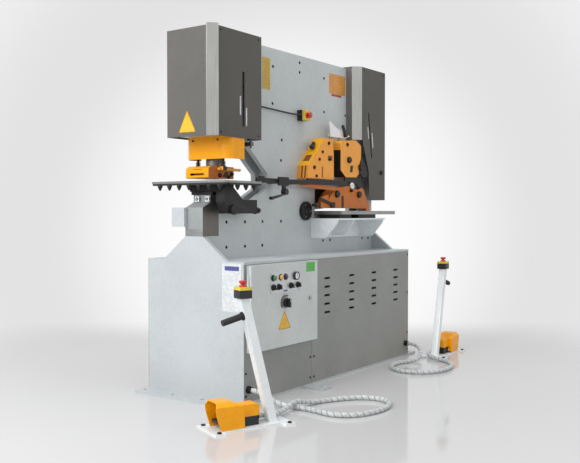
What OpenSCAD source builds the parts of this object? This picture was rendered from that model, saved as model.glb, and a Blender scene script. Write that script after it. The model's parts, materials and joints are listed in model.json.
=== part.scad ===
// Hydraulic punching and shearing machine with two foot-pedal consoles.
// X runs along the machine from the punch end to the shear end, Y from the control side
// to the rear and Z up. The origin is the centre of the floor plate's underside.
// The punch station stands at the -X end. The shear beam turns on the pivot pin near the
// middle and is pulled down by the cylinder under the cover at the +X end.

/* [Cabinet] */
// Length over both end plates
cabinet_length = 1740; // [1600:10:2100]
// Depth from the control side to the rear
cabinet_depth = 656; // [600:4:800]
// Height of the ledge on top of the cabinet
cabinet_height = 704; // [690:2:720]
// Height of each end plate's shoulder beside the main frame
shoulder_height = 826; // [780:2:860]
// Flat run on top of each end plate before it slopes up
shoulder_flat = 117; // [80:1:160]
// Thickness of the end plates
end_plate_t = 25; // [15:1:40]
// Thickness of the floor plate and of the ledges
floor_t = 12; // [8:1:20]
// Sheet thickness of the cabinet panels
panel_t = 3; // [1.5:0.5:5]
// Reach of the foot flanges past the end plates
foot_reach = 100; // [70:5:150]
// Diameter of the anchor holes in the foot flanges
anchor_d = 22; // [14:1:30]
// Width of one vent slot
vent_w = 56; // [30:2:80]
// Height of one vent slot
vent_h = 12; // [6:1:20]
// Distance between vent rows
vent_pitch = 48; // [30:2:60]

/* [Main frame] */
// Width over the two frame plates
frame_width = 120; // [110:2:140]
// Thickness of one frame plate
frame_plate_t = 30; // [22:1:34]
// Height of the top of the frame plates
frame_top = 1871; // [1840:2:2000]
// Height of the lower edge of the frame plates inside the cabinet
frame_bottom = 642; // [600:2:660]
// Distance from the punch end to the back of the throat
throat_depth = 545; // [500:5:600]
// Height of the flat top of the lower jaw
jaw_top = 973; // [940:1:990]
// Length of the jaw block at the punch end
jaw_block_length = 120; // [100:2:140]
// Diameter of the blind holes in the front plate
plate_hole_d = 18; // [10:1:24]

/* [Punch station] */
// Distance from the punch end to the punch axis
punch_setback = 168; // [150:2:190]
// Diameter of the punch
punch_d = 22; // [10:0.5:28]
// Clearance between punch and die on the diameter
die_clearance = 1; // [0.4:0.1:2]
// Stroke of the punch ram
punch_stroke = 40; // [20:1:45]
// Height of the working face of the die
die_top = 1112; // [1110:1:1116]
// Outer diameter of the die
die_d = 62; // [50:1:70]
// Outer diameter of the punch cylinder
punch_cylinder_d = 246; // [180:2:248]
// Diameter of the punch cylinder's rod
punch_rod_d = 90; // [60:2:100]
// Width of the square ram block
ram_block_w = 90; // [80:1:100]
// Diameter of the nut that holds the punch
punch_nut_d = 98; // [70:1:104]
// Length of the punch cover along X
punch_cover_length = 395; // [380:5:420]
// Width of the punch cover along Y
punch_cover_width = 310; // [300:2:340]
// Height of the lower edge of the punch cover
punch_cover_bottom = 1333; // [1331:1:1336]
// Chamfer on the covers' upright corners
cover_chamfer = 44; // [20:1:60]
// Sheet thickness of covers and guards
sheet_t = 3; // [2:0.5:4]
// Rise of the corner trims above the covers
trim_rise = 12; // [4:1:20]

/* [Punch table] */
// Length of the punch table along X
table_length = 300; // [280:5:330]
// Width of the punch table along Y
table_width = 500; // [440:10:600]
// Thickness of the punch table
table_t = 12; // [8:1:14]
// Distance between the clamp knobs under the table
knob_pitch = 68; // [50:1:74]

/* [Shear station] */
// Distance of the pivot axis from the middle of the machine
pivot_offset = 43; // [20:1:60]
// Height of the pivot axis
pivot_height = 956; // [950:1:962]
// Diameter of the pivot pin
pivot_d = 90; // [70:1:100]
// Diameter of the black head on the pivot pin
pivot_head_d = 112; // [104:1:130]
// Running clearance round the pivot pin on the radius
pivot_clearance = 0.05; // [0.02:0.01:0.1]
// Thickness of the shear beam
beam_t = 34; // [30:1:35]
// Distance from the shear end to the shear cylinder's axis
shear_cylinder_setback = 128; // [120:2:140]
// Outer diameter of the shear cylinder
shear_cylinder_d = 190; // [150:2:200]
// Diameter of the shear cylinder's rod
shear_rod_d = 56; // [40:1:58]
// Diameter of the clevis pin between rod and beam
clevis_pin_d = 36; // [30:1:40]
// Length of the shear cover along X
shear_cover_length = 355; // [345:5:375]
// Width of the shear cover along Y
shear_cover_width = 298; // [290:2:330]
// Height of the lower edge of the shear cover
shear_cover_bottom = 1029; // [1020:1:1040]
// Depth of the orange guards in front of the frame plate
guard_depth = 78; // [60:1:90]
// Length of the shear table along X
shear_table_length = 664; // [600:4:700]
// Width of the shear table along Y
shear_table_width = 200; // [160:5:240]
// Height of the top of the shear table
shear_table_top = 957; // [950:1:958]

/* [Control box] */
// Width of the control box door
door_width = 585; // [560:5:600]
// Height of the control box door
door_height = 430; // [400:5:430]
// Depth of the door pan
door_depth = 16; // [12:1:24]
// Diameter of a push button or selector
button_d = 28; // [22:1:32]
// Edge length of an emergency stop box
estop_w = 62; // [56:1:72]
// Diameter of an emergency stop button
estop_d = 36; // [30:1:42]
// Travel of a push button
button_travel = 4; // [2:0.5:6]

/* [Pedal consoles] */
// Length of a console's base plate
console_length = 400; // [380:5:460]
// Width of a console's base plate
console_width = 190; // [170:2:230]
// Height of the post to the emergency stop box
post_height = 570; // [450:5:700]
// Lean of the post over the pedal, in degrees
post_lean = 14.4; // [8:0.1:16]
// Edge length of the square post
post_w = 40; // [30:1:45]
// Width of the pedal hood
hood_w = 112; // [108:1:130]
// Height of the pedal hood
hood_h = 130; // [120:1:160]
// Diameter of the wrapped cables
cable_d = 24; // [16:1:26]

/* [Hidden] */
$fn = 48;
cut = 1;      // overrun of a cut past the face it opens

// Paint and metal colours
frame_grey = [0.66, 0.68, 0.69];
pale_grey = [0.83, 0.85, 0.86];
panel_grey = [0.46, 0.46, 0.45];
cover_grey = [0.36, 0.35, 0.34];
trim_grey = [0.70, 0.71, 0.71];
orange = [0.96, 0.62, 0.08];
dark_orange = [0.80, 0.43, 0.08];
black = [0.08, 0.08, 0.09];
steel = [0.62, 0.63, 0.64];
brown_steel = [0.36, 0.33, 0.31];

// Ends and faces of the machine
x_left = -cabinet_length / 2;
x_right = cabinet_length / 2;
y_front = -cabinet_depth / 2;
y_rear = cabinet_depth / 2;
frame_y = frame_width / 2;
gap_y = frame_y - frame_plate_t;
inner_left = x_left + end_plate_t;
inner_right = x_right - end_plate_t;
ledge_bottom = cabinet_height - floor_t;

// Punch station
punch_x = x_left + punch_setback;
throat_x = x_left + throat_depth;
frame_left = punch_x + 127;
jaw_gap = 4;
jaw_x = x_left + jaw_block_length;
throat_low = 1082;
throat_high = 1162;
throat_slope = 0.83;
upper_jaw_z = throat_high + throat_slope * (throat_x - frame_left);
head_plate_z = [1340, 1400];
head_plate_y = 132;
head_plate_x = punch_x - 128;
rod_clearance = 0.5;
ram_block_z = [1240, 1330];
punch_nut_z = [1185, 1240];
punch_tip_z = 1128;
ram_arm_z = [1300, 1322];
trip_rod_x = frame_left + 15;
trip_rod_y = -125;
pointer_z = [1600, 1612];
stripper_x = [punch_x - 143, punch_x + 57];
stripper_y = 77;
stripper_z = [1123, 1185];
stripper_foot_t = 10;
stripper_post_x = punch_x - 38;
stripper_post_y = 86;
post_r = 7;
guard_x = [punch_x - 72, punch_x + 58];
guard_y = 151;
guard_corner_r = 48;
guard_bottom = 1224;
bolster_x = [punch_x - 108, punch_x + 84];
bolster_y = [-60, 56];
bolster_bolt_y = [-46, 22];
bolster_top = 1038;
holder_x = [punch_x - 98, punch_x + 42];
holder_y = 92;
table_z = [die_top - 4 - table_t, die_top - 4];
table_x = [x_left - 26, x_left - 26 + table_length];
table_shift = 22;
table_y = [table_shift - table_width / 2, table_shift + table_width / 2];
slug_hole_d = 44;

// Covers
cover_top = frame_top + 10;
punch_cover_x = [x_left - 30, x_left - 30 + punch_cover_length];
punch_cover_y = punch_cover_width / 2;
shear_cover_x = [x_right - shear_cover_length, x_right];
shear_cover_y = shear_cover_width / 2;
notch_top = 1412;

// Shear station
pivot_x = pivot_offset;
shear_x = x_right - shear_cylinder_setback;
beam_y = [-8, -8 + beam_t];
blade_gap = 1.5;
fixed_y = [-gap_y, beam_y[0] - blade_gap];
rod_end_z = 1258;
shear_seat_z = 1470;
cylinder_notch_x = shear_x - shear_cylinder_d / 2 - 3;
shear_stroke_room = 1.2;
slot_x = [244, 324];
slot_z = [1170, 1370];
window_x = [150, 700];
flat_bar_room = 16;
window_z = [shear_table_top, 1090];
guard_front = -frame_y - guard_depth;
bracket_x = [112, 672];
bracket_z = 902;
table_foot_z = [912, shear_table_top - 22];

// Control box
box_y = y_front - 10;
door_x = [x_left + 20, x_left + 20 + door_width];
door_z = [257, 257 + door_height];
door_back = box_y - 1.5;
door_front = door_back - door_depth;
hinge_x = door_x[0] - 5;
hinge_y = door_back - 0.5;
hinge_r = 5;
hinge_pin_r = 2.5;
hinge_clearance = 0.05;
hinge_heights = [door_z[0] + 80, door_z[1] - 110];
knuckle = 30;
controls_x = door_x[0] + 283;
controls_z = door_z[0] + 332;
control_plate_t = 2;
panel_face = door_front - control_plate_t;
switch_at = [door_x[0] + 285, door_z[0] + 225];
lock_at = [door_x[1] - 74, door_z[0] + 231];
// Places of the upper and lower rows of controls, from the control plate's centre
start_at = [-106, 27];
lamp_at = [[-41, 27], [2, 27]];
gauge_at = [92, 27];
selector_at = [[-106, -21], [-59, -21], [47, -21], [110, -21]];

// Pedal consoles: place on the floor and turn about Z
left_console = [-1150, -565];
left_turn = -23;
right_console = [1042, -490];
right_turn = 184;
base_t = 8;
post_u = 126;
treadle_axis_u = -28;
treadle_axis_z = 34;
estop_box_h = 50;

// Emergency stop on the front plate
plate_estop = [-4, 1518];

// Gland centres on the front panels
left_gland = [x_left + 32, 75];
right_gland = [x_right - 44, 85];
gland_length = 24;
cable_r = cable_d / 2;

// Cable centre lines from the machine's gland to the pedal's gland
left_route = [
  [-838, -339, 75], [-836, -387, 72], [-828, -425, 58.5], [-814, -461, 36.5], [-799, -498, 19.5],
  [-787, -540, 12.5], [-780, -591, 12.5], [-780, -651, 12.5], [-789, -714, 12.5], [-798, -765, 12.5],
  [-795, -805, 12.5], [-782, -840, 12.5], [-759, -869, 12.5], [-726, -894, 12.5], [-681, -914, 12.5],
  [-627, -928, 12.5], [-572, -932, 12.5], [-520, -928, 12.5], [-477, -915, 12.5], [-443, -896, 12.5],
  [-419, -870, 12.5], [-404, -840, 12.5], [-399, -807, 12.5], [-404, -772, 12.5], [-420, -737, 12.5],
  [-448, -702, 12.5], [-490, -668, 12.5], [-545, -634, 12.5], [-602, -605, 13], [-657, -587, 16],
  [-712, -577, 25], [-762, -573, 36.5], [-808, -572, 35], [-857, -574, 24.5], [-908, -581, 20],
  [-952, -589, 22], [-994, -585, 22.5], [-1034, -573, 26.5], [-1083, -565, 32]
];
right_route = [
  [826, -339, 85], [826, -374, 84.5], [818, -410, 79.5], [801, -441, 68.5], [776, -463, 53],
  [745, -477, 36], [711, -482, 23], [674, -478, 15], [630, -464, 12.5], [575, -445, 12.5],
  [522, -435, 12.5], [474, -435, 12.5], [429, -444, 12.5], [389, -463, 12.5], [354, -488, 12.5],
  [329, -519, 12.5], [313, -554, 12.5], [306, -591, 12.5], [309, -629, 12.5], [321, -664, 12.5],
  [343, -696, 12.5], [375, -724, 12.5], [415, -746, 12.5], [461, -761, 12.5], [511, -766, 12.5],
  [564, -763, 12.5], [616, -751, 12.5], [664, -731, 12.5], [707, -703, 12.5], [741, -669, 12.5],
  [768, -630, 13], [788, -581, 14], [808, -537, 16], [832, -503, 19], [862, -480, 21.5],
  [896, -467, 23], [936, -464, 27], [979, -468, 32]
];
lead_d = 10;
lead_route = [
  [-520, -85, 1533], [-470, -85, 1530.5], [-400, -85, 1527.5], [-320, -85, 1524], [-240, -85, 1521],
  [-170, -85, 1518.5], [-120, -85, 1517.5], [-84, -85, 1517.5], [-54, -85, 1518]
];

// ---------------------------------------------------------------- building blocks

// Block between two corners, given as a range on each axis
module block(x, y, z) {
  translate([x[0], y[0], z[0]]) cube([x[1] - x[0], y[1] - y[0], z[1] - z[0]]);
}

// Plate with an outline in X and Z, standing across the range y
module plate_y(outline, y) {
  translate([0, y[1], 0]) rotate([90, 0, 0]) linear_extrude(y[1] - y[0]) polygon(outline);
}

// Plate with an outline in Y and Z, standing across the range x
module plate_x(outline, x) {
  translate([x[0], 0, 0]) rotate([90, 0, 90]) linear_extrude(x[1] - x[0]) polygon(outline);
}

// Plate with an outline in X and Y, lying across the range z
module plate_z(outline, z) {
  translate([0, 0, z[0]]) linear_extrude(z[1] - z[0]) polygon(outline);
}

// Round bars along each axis, centred on the other two
module bar_x(x, at, r) {
  translate([x[0], at[0], at[1]]) rotate([0, 90, 0]) cylinder(h = x[1] - x[0], r = r);
}
module bar_y(y, at, r) {
  translate([at[0], y[0], at[1]]) rotate([-90, 0, 0]) cylinder(h = y[1] - y[0], r = r);
}
module bar_z(z, at, r) {
  translate([at[0], at[1], z[0]]) cylinder(h = z[1] - z[0], r = r);
}

// A child and its mirror image in the XZ plane
module both_sides() {
  children();
  mirror([0, 1, 0]) children();
}

// Tube with eight sides swept along a route
function unit(v) = v / norm(v);
function heading(route, i) =
  unit(route[min(i + 1, len(route) - 1)] - route[max(i - 1, 0)]);
function ring(route, i, r, sides) =
  let (t = heading(route, i), a = unit(cross([0, 0, 1], t)), b = cross(t, a))
  [for (k = [0 : sides - 1])
    route[i] + r * (cos(360 * k / sides) * a + sin(360 * k / sides) * b)];
module tube(route, d, sides = 8) {
  n = len(route);
  points = [for (i = [0 : n - 1]) each ring(route, i, d / 2, sides)];
  walls = [for (i = [0 : n - 2], k = [0 : sides - 1])
    [i * sides + k, i * sides + (k + 1) % sides,
     (i + 1) * sides + (k + 1) % sides, (i + 1) * sides + k]];
  ends = [[for (k = [sides - 1 : -1 : 0]) k], [for (k = [0 : sides - 1]) (n - 1) * sides + k]];
  polyhedron(points, [for (f = concat(walls, ends)) [for (k = [len(f) - 1 : -1 : 0]) f[k]]]);
}

// ---------------------------------------------------------------- cabinet

function end_outline() = [
  [y_front, 0], [y_rear, 0], [y_rear, cabinet_height], [y_rear - shoulder_flat, cabinet_height],
  [frame_y, shoulder_height], [-frame_y, shoulder_height],
  [y_front + shoulder_flat, cabinet_height], [y_front, cabinet_height]
];
anchor_edge = 28;
anchor_inner = 100;
anchor_rows = [y_front + anchor_edge, -anchor_inner, anchor_inner, y_rear - anchor_edge];
lug_x = [-377, -288];
lug_reach = 138;

module base_frame() color(pale_grey) difference() {
  union() {
    block([x_left - foot_reach, x_right + foot_reach], [y_front, y_rear], [0, floor_t]);
    both_sides() block(lug_x, [y_front - lug_reach, y_front + cut], [0, floor_t]);
    difference() {
      union() {
        plate_x(end_outline(), [x_left, inner_left]);
        plate_x(end_outline(), [inner_right, x_right]);
      }
      both_sides() block([x_left - cut, x_right + cut], [y_front - cut, panel_y[1]],
        [floor_t, ledge_bottom]);
    }
    both_sides() block([inner_left - cut, inner_right + cut], [y_front, -frame_y],
      [ledge_bottom, cabinet_height]);
  }
  for (x = [x_left - foot_reach / 2, x_right + foot_reach / 2], y = anchor_rows)
    bar_z([-cut, floor_t + cut], [x, y], anchor_d / 2);
  for (s = [-1, 1])
    bar_z([-cut, floor_t + cut], [(lug_x[0] + lug_x[1]) / 2, s * (y_rear + lug_reach - 40)],
      anchor_d / 2);
}

panel_y = [y_front + 2, y_front + 2 + panel_t];
panel_seam = door_x[1] - 12;
vent_columns = [-120, 147, 412, 693];
vent_top = 578;
vent_rows = 5;

module vents(columns, y) {
  for (x = columns, row = [0 : vent_rows - 1])
    block([x - vent_w / 2, x + vent_w / 2], [y[0] - cut, y[1] + cut],
      [vent_top - row * vent_pitch - vent_h / 2, vent_top - row * vent_pitch + vent_h / 2]);
}

// Sheets that close the front and the rear of the cabinet
module cabinet_panels() {
  front_panel_left();
  front_panel_right();
  rear_panel();
}
module front_panel_left() color(panel_grey) difference() {
  block([x_left, panel_seam - 1], panel_y, [floor_t, ledge_bottom]);
  block([inner_left + 3, panel_seam - 30], [panel_y[0] - cut, panel_y[1] + cut],
    [door_z[0] + 12, door_z[1] - 8]);
  bar_y([panel_y[0] - cut, panel_y[1] + cut], left_gland, 12);
}

module front_panel_right() color(panel_grey) difference() {
  block([panel_seam + 1, x_right], panel_y, [floor_t, ledge_bottom]);
  vents(vent_columns, panel_y);
  bar_y([panel_y[0] - cut, panel_y[1] + cut], right_gland, 12);
}

module rear_panel() color(panel_grey) difference() {
  block([x_left, x_right], [-panel_y[1], -panel_y[0]], [floor_t, ledge_bottom]);
  vents([-600, -200, 200, 600], [-panel_y[1], -panel_y[0]]);
}

// Oil tank with the motor and pump standing on its lid
tank_x = [-150, 420];
tank_y = 170;
tank_top = 330;
module power_pack() {
  color(panel_grey) {
    block(tank_x, [-tank_y, tank_y], [floor_t, tank_top]);
    block([tank_x[0] - 15, tank_x[1] + 15], [-tank_y - 15, tank_y + 15], [tank_top, tank_top + 10]);
  }
  color(frame_grey) {
    bar_z([tank_top + 10, tank_top + 40], [40, 0], 110);
    bar_z([tank_top + 40, tank_top + 270], [40, 0], 90);
    block([250, 360], [-70, 70], [tank_top + 10, tank_top + 130]);
  }
}

// ---------------------------------------------------------------- main frame

function frame_outline() = [
  [inner_left, frame_bottom], [inner_left, shoulder_height],
  [jaw_x + jaw_gap, shoulder_height], [jaw_x + jaw_gap, jaw_top],
  [throat_x - 225, jaw_top], [throat_x, throat_low], [throat_x, throat_high],
  [frame_left, upper_jaw_z], [frame_left, frame_top],
  [cylinder_notch_x, frame_top], [cylinder_notch_x, shear_seat_z],
  [inner_right, shear_seat_z], [inner_right, frame_bottom]
];
// Blind holes in the front plate, as X and Z
plate_holes = [
  [-273, 1770], [-278, 1562], [-9, 1773], [-190, 1362], [-197, 1245], [254, 1773],
  [254, 1567], [-9, 1830], [455, 1769], [504, 1569],
  [-683, 897], [-528, 897], [-372, 897], [-197, 897],
  [-684, 765], [-528, 765], [-374, 765], [244, 774], [325, 775], [720, 777], [800, 775]
];
plate_hole_depth = 12;
sill_top = 700;

// Room for the weld between two plates, which stay separate solids
weld_gap = 0.2;
spacer_y = [-gap_y + weld_gap, gap_y - weld_gap];
module spacer(x, z) { block(x, spacer_y, z); }

// Pivot bore, section window and flat bar window
module frame_windows() {
  bar_y([-frame_y - cut, frame_y + cut], [pivot_x, pivot_height], pivot_d / 2);
  block(slot_x, [-frame_y - cut, frame_y + cut], slot_z);
  block(window_x, [-frame_y - cut, frame_y + cut], window_z);
}

// The two thick plates of the frame, with the beam between them
module frame_plate_front() color(frame_grey) difference() {
  plate_y(frame_outline(), [-frame_y, -gap_y]);
  frame_windows();
  for (h = plate_holes)
    bar_y([-frame_y - cut, -frame_y + plate_hole_depth], h, plate_hole_d / 2);
}
module frame_plate_rear() color(frame_grey) difference() {
  plate_y(frame_outline(), [gap_y, frame_y]);
  frame_windows();
}

// Spacers between the plates, and the plates that carry the cylinders
module main_frame() color(frame_grey) difference() {
  union() {
    spacer([frame_left, cylinder_notch_x], [frame_top - 50, frame_top - 10]);
    spacer([frame_left, frame_left + 40], [upper_jaw_z + 20, frame_top - 50 - weld_gap]);
    spacer([throat_x + 25, throat_x + 75], [1040, 1240]);
    spacer([throat_x - 300, throat_x + 75], [880, 940]);
    spacer([inner_left, inner_right], [frame_bottom, sill_top]);
    spacer([inner_right - 30, inner_right], [sill_top + weld_gap, 1300]);
    // Thick plate that carries the punch cylinder
    block([head_plate_x, frame_left - weld_gap], [-head_plate_y, head_plate_y], head_plate_z);
    // Plate that carries the shear cylinder
    spacer([cylinder_notch_x, inner_right], [shear_seat_z - 50, shear_seat_z]);
  }
  bar_z([head_plate_z[0] - cut, head_plate_z[1] + cut], [punch_x, 0], punch_rod_d / 2 + rod_clearance);
  for (s = [-1, 1])
    bar_z([head_plate_z[0] - cut, head_plate_z[1] + cut],
      [stripper_post_x, s * stripper_post_y], post_r + 0.1);
  bar_z([shear_seat_z - 50 - cut, shear_seat_z + cut], [shear_x, 0], shear_rod_d / 2 + rod_clearance);
  frame_windows();
}

module jaw_block() color(brown_steel) difference() {
  union() {
    block([x_left, jaw_x], [-frame_y, frame_y], [shoulder_height, jaw_top]);
    plate_y([[x_left, jaw_top], [bolster_x[0], jaw_top + 28], [bolster_x[0], bolster_top],
      [bolster_x[1], bolster_top], [bolster_x[1], jaw_top]], bolster_y);
  }
  bar_z([jaw_top - cut, bolster_top + cut], [punch_x, 0], slug_hole_d / 2);
}

// Box on the rear side of the jaw that catches slugs
slug_box_w = 72;
slug_box_t = 4;
module slug_box() color(pale_grey) {
  x = [x_left - 24, jaw_x - 20];
  z = [shoulder_height + 48, jaw_top];
  difference() {
    union() {
      block(x, [frame_y, frame_y + slug_box_w], z);
      block([x[0], x_left], [45, frame_y], z);
    }
    block([x[0] + slug_box_t, x[1] - slug_box_t], [frame_y + slug_box_t, frame_y + slug_box_w - slug_box_t],
      [z[0] + slug_box_t, z[1] + cut]);
  }
}

// ---------------------------------------------------------------- punch station

punch_cylinder_top = 1790;
gland_block = 60;
piston_h = 60;
punch_piston_z = 1680;
module punch_cylinder() color(frame_grey) {
  z0 = head_plate_z[1];
  difference() {
    union() {
      bar_z([z0, punch_cylinder_top], [punch_x, 0], punch_cylinder_d / 2);
      bar_z([punch_cylinder_top, punch_cylinder_top + 22], [punch_x, 0], punch_cylinder_d / 2 - 30);
    }
    bar_z([z0 + gland_block, punch_cylinder_top - 30], [punch_x, 0], punch_cylinder_d / 2 - 22);
    bar_z([z0 - cut, z0 + gland_block + cut], [punch_x, 0], punch_rod_d / 2 + rod_clearance);
  }
}

module punch_ram() color(brown_steel) {
  bar_z([ram_block_z[1], punch_piston_z], [punch_x, 0], punch_rod_d / 2);
  bar_z([punch_piston_z, punch_piston_z + piston_h], [punch_x, 0], punch_cylinder_d / 2 - 23);
  block([punch_x - ram_block_w / 2, punch_x + ram_block_w / 2],
    [-ram_block_w / 2, ram_block_w / 2], ram_block_z);
  difference() {
    bar_z(punch_nut_z, [punch_x, 0], punch_nut_d / 2);
    bar_z([punch_nut_z[0] - cut, punch_nut_z[0] + 30], [punch_x, 0], punch_d / 2 + 8);
  }
  // Arm and trip rod that show the stroke at the cover's slot
  block([punch_x + ram_block_w / 2, trip_rod_x + 12], [-12, 12], ram_arm_z);
  block([trip_rod_x - 12, trip_rod_x + 12], [trip_rod_y - 10, -12], ram_arm_z);
  bar_z([ram_arm_z[0] - 12, 1700], [trip_rod_x, trip_rod_y], 6);
  block([punch_x + 34, trip_rod_x], [trip_rod_y - 17, trip_rod_y - 11], pointer_z);
  block([trip_rod_x - 6, trip_rod_x + 6], [trip_rod_y - 17, trip_rod_y], pointer_z);
}

module punch() color(steel) {
  bar_z([punch_tip_z, punch_nut_z[0] + 30], [punch_x, 0], punch_d / 2);
  bar_z([punch_nut_z[0] + 10, punch_nut_z[0] + 30], [punch_x, 0], punch_d / 2 + 8);
}

die_seat = 10;
module die() color(steel) difference() {
  bar_z([table_z[0] - die_seat, die_top], [punch_x, 0], die_d / 2);
  bar_z([table_z[0] - die_seat - cut, die_top + cut], [punch_x, 0], (punch_d + die_clearance) / 2);
}

module die_holder() color(black) difference() {
  union() {
    block(holder_x, [-holder_y, holder_y], [bolster_top + 17, table_z[0]]);
    block([holder_x[0] - 10, holder_x[1] + 22], [-72, 72], [bolster_top, bolster_top + 17]);
  }
  bar_z([table_z[0] - die_seat, table_z[0] + cut], [punch_x, 0], die_d / 2);
  bar_z([bolster_top - cut, table_z[0]], [punch_x, 0], slug_hole_d / 2);
}

// Outline of the punch guard: open at the back, rounded at both front corners
module guard_plan(inset) {
  r = guard_corner_r - inset;
  x0 = guard_x[0] + inset;
  y0 = guard_y - inset;
  union() {
    translate([x0 + r, -y0]) square([guard_x[1] - x0 - r, 2 * y0]);
    translate([x0, -y0 + r]) square([r + cut, 2 * (y0 - r)]);
    for (s = [-1, 1]) translate([x0 + r, s * (y0 - r)]) circle(r);
  }
}

module punch_guard() color(orange) difference() {
  translate([0, 0, guard_bottom]) linear_extrude(head_plate_z[0] - guard_bottom) guard_plan(0);
  difference() {
    translate([0, 0, guard_bottom - cut])
      linear_extrude(head_plate_z[0] - guard_bottom + 2 * cut) guard_plan(sheet_t);
    difference() {
      block([guard_x[0], guard_x[1]], [-guard_y, guard_y], [head_plate_z[0] - sheet_t, head_plate_z[0]]);
      block([guard_x[0] + 12, guard_x[1] + cut], [-110, 110], [head_plate_z[0] - 9, head_plate_z[0] + cut]);
    }
  }
  block([guard_x[1] - cut, guard_x[1] + 20], [-guard_y + sheet_t, guard_y - sheet_t],
    [guard_bottom - cut, head_plate_z[0] - sheet_t]);
}

module stripper() color(orange) {
  nose = 14;
  difference() {
    plate_y([[stripper_x[0], stripper_z[0] + 4], [stripper_x[0] + 5, stripper_z[0]],
      [stripper_x[1], stripper_z[0]], [stripper_x[1], stripper_z[1]],
      [stripper_x[0] + nose * 2, stripper_z[1]], [stripper_x[0] + nose * 0.8, stripper_z[1] - 5],
      [stripper_x[0], stripper_z[1] - nose]], [-stripper_y, stripper_y]);
    bar_z([stripper_z[0] - cut, stripper_z[1]], [punch_x, 0], punch_d / 2 + 7);
    bar_z([stripper_z[0] + stripper_foot_t, stripper_z[1] + cut], [punch_x, 0], punch_nut_d / 2 + 6);
    // Slot across the front face
    block([stripper_x[0] - cut, stripper_x[0] + 30], [-46, 48], [stripper_z[0] + 14, stripper_z[0] + 25]);
  }
  both_sides() {
    block([stripper_post_x - 16, stripper_post_x + 16], [stripper_y, stripper_post_y + 13],
      [stripper_z[1] - 18, stripper_z[1]]);
    bar_z([stripper_z[1], head_plate_z[1] - 8], [stripper_post_x, stripper_post_y], post_r);
  }
  // Handle rod along the control side
  bar_x([stripper_x[0] + 70, stripper_x[1] + 50], [-stripper_y - 5, stripper_z[1] - 14], 5);
}

module cover_shell(outline, inner, z) {
  difference() {
    plate_z(outline, z);
    plate_z(inner, [z[0] - cut, z[1] - sheet_t]);
  }
}

// Plan of a cover with one bevelled edge at the front of x_end
function cover_plan(x_end, x_open, half, c) =
  let (s = x_end < x_open ? 1 : -1)
  [[x_open, -half], [x_end + s * c, -half], [x_end, -half + c], [x_end, half], [x_open, half]];

stroke_slot_z = [1396, 1675];
lead_hole_r = 6;
module punch_cover() color(cover_grey) difference() {
  cover_shell(
    cover_plan(punch_cover_x[0], punch_cover_x[1], punch_cover_y, cover_chamfer),
    cover_plan(punch_cover_x[0] + sheet_t, punch_cover_x[1] - sheet_t, punch_cover_y - sheet_t,
      cover_chamfer - sheet_t * 0.41),
    [punch_cover_bottom, cover_top]);
  block([punch_cover_x[1] - 10, punch_cover_x[1] + cut], [-frame_y, frame_y],
    [punch_cover_bottom - cut, cover_top - sheet_t]);
  // Stroke slot in the front wall
  block([punch_x + 38, punch_x + 50], [-punch_cover_y - cut, -punch_cover_y + 10], stroke_slot_z);
  // Hole for the lead to the emergency stop
  bar_x([punch_cover_x[1] - 10, punch_cover_x[1] + cut], [lead_route[0][1], lead_route[0][2]], lead_hole_r);
}

// Corners of the tilted slot, from the cover's open side
tilted_slot = [[129, 1592], [141, 1592], [183, 1303], [171, 1303]];

// The shear cover is cut back below the notch so that the guards pass beside it
module shear_cover() color(cover_grey) difference() {
  cover_shell(
    cover_plan(shear_cover_x[0], shear_cover_x[1], shear_cover_y, cover_chamfer + 3),
    cover_plan(shear_cover_x[0] + sheet_t, shear_cover_x[1] - sheet_t, shear_cover_y - sheet_t,
      cover_chamfer + 3 - sheet_t * 0.41),
    [shear_cover_bottom, cover_top]);
  block([shear_cover_x[0] - cut, shear_cover_x[0] + 10], [-frame_y, frame_y],
    [shear_cover_bottom - cut, cover_top - sheet_t]);
  plate_y([[shear_cover_x[0] - cut, shear_cover_bottom - cut], [shear_cover_x[0] - cut, notch_top],
    [shear_cover_x[0] + 58, notch_top], [shear_cover_x[0] + 138, 1215],
    [shear_cover_x[0] + 146, shear_cover_bottom - cut]], [-shear_cover_y - cut, shear_cover_y + cut]);
  // Tilted stroke slot in the front wall
  plate_y([for (p = tilted_slot) [shear_cover_x[0] + p[0], p[1]]],
    [-shear_cover_y - cut, -shear_cover_y + 10]);
}

trim_t = 6;
module trim(x, half, c, s, z) {
  // Strip on the chamfer between (x, -half + c) and (x + s c, -half)
  k = trim_t * 0.707;
  plate_z([[x, -half + c], [x + s * c, -half], [x + s * (c - k), -half - k], [x - s * k, -half + c - k]], z);
}
module cover_trims() color(trim_grey) {
  trim(punch_cover_x[0], punch_cover_y, cover_chamfer, 1, [punch_cover_bottom, cover_top + trim_rise]);
  trim(shear_cover_x[0], shear_cover_y, cover_chamfer + 3, 1, [notch_top, cover_top]);
}

// ---------------------------------------------------------------- punch table

rail_t = 9;
rail_w = 24;
rail_inset = 4;
module punch_table() color(steel) difference() {
  block(table_x, table_y, table_z);
  bar_z([table_z[0] - cut, table_z[1] + cut], [punch_x, 0], die_d / 2 + 4);
  block([punch_x, table_x[1] + cut], [-die_d / 2 - 4, die_d / 2 + 4], [table_z[0] - cut, table_z[1] + cut]);
}

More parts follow.
